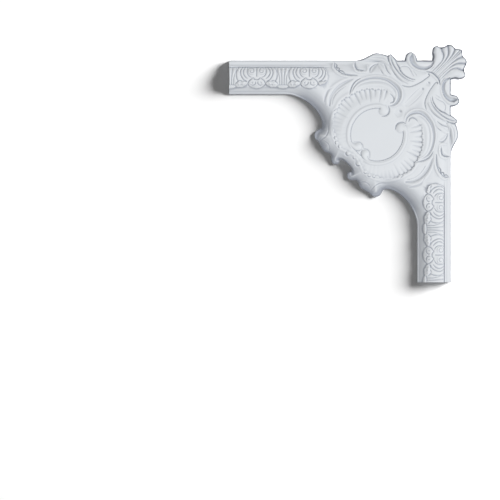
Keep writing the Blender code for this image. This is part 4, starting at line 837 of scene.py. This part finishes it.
def casting(face):
    """Stands the carved face on its flat back: a wall round the outline, and the back itself."""
    bm = bmesh.new()
    bm.from_mesh(face)
    for v in bm.verts:
        for axis in (0, 1):
            if abs(v.co[axis] - ARM) < CUT_SNAP:
                v.co[axis] = ARM
    rim = [e for e in bm.edges if e.is_boundary]
    made = bmesh.ops.extrude_edge_only(bm, edges=rim)["geom"]
    tone = bm.verts.layers.float[PAINTED_SHADE_LAYER]
    for v in made:
        if isinstance(v, bmesh.types.BMVert):
            v.co.z = 0.0
            v[tone] = PLAIN_TONE
    foot = [e for e in made if isinstance(e, bmesh.types.BMEdge) and e.is_boundary]
    bmesh.ops.contextual_create(bm, geom=foot)
    bmesh.ops.recalc_face_normals(bm, faces=bm.faces[:])
    for v in bm.verts:
        a, b, h = v.co
        v.co = (-(a - CENTRE) * MM, -h * MM, -(b - CENTRE) * MM)
    mesh = bpy.data.meshes.new("corner_casting")
    bm.to_mesh(mesh)
    bm.free()
    return mesh


def noise(nodes, links, place, scale, detail):
    """Noise in the object's own coordinates."""
    node = nodes.new("ShaderNodeTexNoise")
    node.inputs["Scale"].default_value = scale
    node.inputs["Detail"].default_value = detail
    links.new(place.outputs["Object"], node.inputs["Vector"])
    return node


def colour_ramp(nodes, stops):
    """A ramp of colours with the given (position, colour) stops."""
    node = nodes.new("ShaderNodeValToRGB")
    elements = node.color_ramp.elements
    for element, (position, colour) in zip(elements, (stops[0], stops[-1])):
        element.position = position
        element.color = colour
    for position, colour in stops[1:-1]:
        elements.new(position).color = colour
    return node


def primer():
    """White primer: nearly even, with a faint cast grain, slight shifts of tone and gloss, and painted
    shade.
    """
    material = bpy.data.materials.new("white_primer")
    material.use_nodes = True
    nodes, links = material.node_tree.nodes, material.node_tree.links
    shader = nodes["Principled BSDF"]
    shader.inputs["Metallic"].default_value = 0.0
    shader.inputs["Specular IOR Level"].default_value = 0.25
    place = nodes.new("ShaderNodeTexCoord")
    # colour: slight clouds, times the shade and highlight painted in from the carving's tone
    clouds = noise(nodes, links, place, scale=22.0, detail=4.0)
    white = colour_ramp(nodes, [(0.3, PRIMER_DARK), (0.7, PRIMER_LIGHT)])
    links.new(clouds.outputs["Fac"], white.inputs["Fac"])
    shade_tone_node = nodes.new("ShaderNodeAttribute")
    shade_tone_node.attribute_name = PAINTED_SHADE_LAYER
    shade_ramp = colour_ramp(nodes, [(0.0, RIM_SHADE_COLOUR), (HOLLOW_SHADE_LEVEL, HOLLOW_SHADE_COLOUR), (PLAIN_TONE, UNSHADED_COLOUR),
                               (1.0, CREST_HIGHLIGHT_COLOUR)])
    links.new(shade_tone_node.outputs["Fac"], shade_ramp.inputs["Fac"])
    shade = nodes.new("ShaderNodeMix")
    shade.data_type = "RGBA"
    shade.blend_type = "MULTIPLY"
    shade.inputs["Factor"].default_value = 1.0
    links.new(white.outputs["Color"], shade.inputs["A"])
    links.new(shade_ramp.outputs["Color"], shade.inputs["B"])
    links.new(shade.outputs["Result"], shader.inputs["Base Color"])
    # gloss shifts with the clouds
    gloss = nodes.new("ShaderNodeMapRange")
    gloss.inputs["To Min"].default_value = 0.46
    gloss.inputs["To Max"].default_value = 0.60
    links.new(clouds.outputs["Fac"], gloss.inputs["Value"])
    links.new(gloss.outputs["Result"], shader.inputs["Roughness"])
    # fine grain of the casting
    grain = noise(nodes, links, place, scale=900.0, detail=3.0)
    bump = nodes.new("ShaderNodeBump")
    bump.inputs["Strength"].default_value = 0.06
    bump.inputs["Distance"].default_value = 0.0004
    links.new(grain.outputs["Fac"], bump.inputs["Height"])
    links.new(bump.outputs["Normal"], shader.inputs["Normal"])
    return material


def wall_paint():
    """Bright white wall, which is clear when seen from behind."""
    material = bpy.data.materials.new("wall_paint")
    material.use_nodes = True
    nodes, links = material.node_tree.nodes, material.node_tree.links
    shader = nodes["Principled BSDF"]
    shader.inputs["Base Color"].default_value = (1.0, 1.0, 1.0, 1)
    shader.inputs["Roughness"].default_value = 0.9
    facing = nodes.new("ShaderNodeNewGeometry")
    clear = nodes.new("ShaderNodeBsdfTransparent")
    mix = nodes.new("ShaderNodeMixShader")
    links.new(facing.outputs["Backfacing"], mix.inputs["Fac"])
    links.new(shader.outputs["BSDF"], mix.inputs[1])
    links.new(clear.outputs["BSDF"], mix.inputs[2])
    links.new(mix.outputs["Shader"], nodes["Material Output"].inputs["Surface"])
    return material


def place_lamp(name, data, spot, aim, only):
    """Stands a lamp at a spot, turned towards an aim. With an object given, it lights that object only."""
    lamp = bpy.data.objects.new(name, data)
    lamp.location = spot
    lamp.rotation_euler = (Vector(aim) - Vector(spot)).to_track_quat("-Z", "Y").to_euler()
    bpy.context.scene.collection.objects.link(lamp)
    if only:
        lit = bpy.data.collections.new(name + "_lights")
        lit.objects.link(only)
        lamp.light_linking.receiver_collection = lit


def area_light(name, spot, aim, size, power, only=None):
    """A round soft lamp."""
    data = bpy.data.lights.new(name, "AREA")
    data.shape = "DISK"
    data.size = size
    data.energy = power
    place_lamp(name, data, spot, aim, only)


def spot_light(name, spot, aim, power, only=None):
    """A narrow lamp with a soft edge, to lift one patch of the wall."""
    data = bpy.data.lights.new(name, "SPOT")
    data.shadow_soft_size = 0.04
    data.energy = power
    data.spot_size = math.radians(24)
    data.spot_blend = 0.5
    place_lamp(name, data, spot, aim, only)


piece = bpy.data.objects.new("carved_corner", casting(carved_face()))
bpy.context.scene.collection.objects.link(piece)
piece.data.materials.append(primer())
piece.data.shade_smooth()
piece.data.set_sharp_from_angle(angle=math.radians(SHARP_ANGLE))
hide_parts("corner_piece")
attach(piece, "root")

# wall just in front of the piece's back, so that the two surfaces never share a plane
WALL_SIZE = 5.0
WALL_GAP = 0.0003
bpy.ops.mesh.primitive_plane_add(size=WALL_SIZE, location=(0, -WALL_GAP, 0),
                                 rotation=(math.radians(90), 0, 0))
wall = bpy.context.object
wall.name = "wall"
wall.data.materials.append(wall_paint())

# light on the piece: a broad lamp from the front, and one from the right that gives the carving its shade
MIDDLE = (-0.02, 0.0, 0.02)
area_light("front", spot=(0.2, -4.0, -0.4), aim=MIDDLE, size=1.3, power=108.0, only=piece)
area_light("side", spot=(3.4, -3.4, -0.6), aim=MIDDLE, size=1.2, power=95.0, only=piece)
# light on the wall: a broad lamp far off on the right throws the piece's shadow, and two narrow ones lift
# the wall where it would be grey, over the piece and beside it
spot_light("over", spot=(0.03, -0.35, 0.55), aim=(0.04, 0.0, 0.20), power=20.0, only=wall)
spot_light("beside", spot=(0.45, -0.4, -0.05), aim=(0.115, 0.0, 0.06), power=11.0, only=wall)
area_light("throw", spot=(9.4, -4.6, 3.6), aim=MIDDLE, size=5.8, power=3060.0, only=wall)
# light for a view from behind, where the wall is clear
area_light("back_fill", spot=(-0.6, 2.2, 0.8), aim=MIDDLE, size=1.6, power=25.0)

WORLD_STRENGTH = 0.16
world = bpy.data.worlds.new("studio")
bpy.context.scene.world = world
world.use_nodes = True
background = world.node_tree.nodes["Background"]
background.inputs["Color"].default_value = (1.0, 1.0, 1.0, 1)
background.inputs["Strength"].default_value = WORLD_STRENGTH
bpy.context.scene.view_settings.view_transform = "Standard"

# camera: all but square on, from a little above, with the piece at the upper right of the picture
AIM = Vector((-0.1718, -0.016, -0.1562))
DISTANCE = 4.0
PITCH = math.radians(0.6)
HALF_VIEW = 0.338       # half the width of the picture at the piece
camera_data = bpy.data.cameras.new("camera")
camera_data.angle = 2 * math.atan(HALF_VIEW / DISTANCE)
camera = bpy.data.objects.new("camera", camera_data)
camera.location = AIM + Vector((0, -math.cos(PITCH), math.sin(PITCH))) * DISTANCE
camera.rotation_euler = (AIM - camera.location).to_track_quat("-Z", "Y").to_euler()
bpy.context.scene.collection.objects.link(camera)
bpy.context.scene.camera = camera
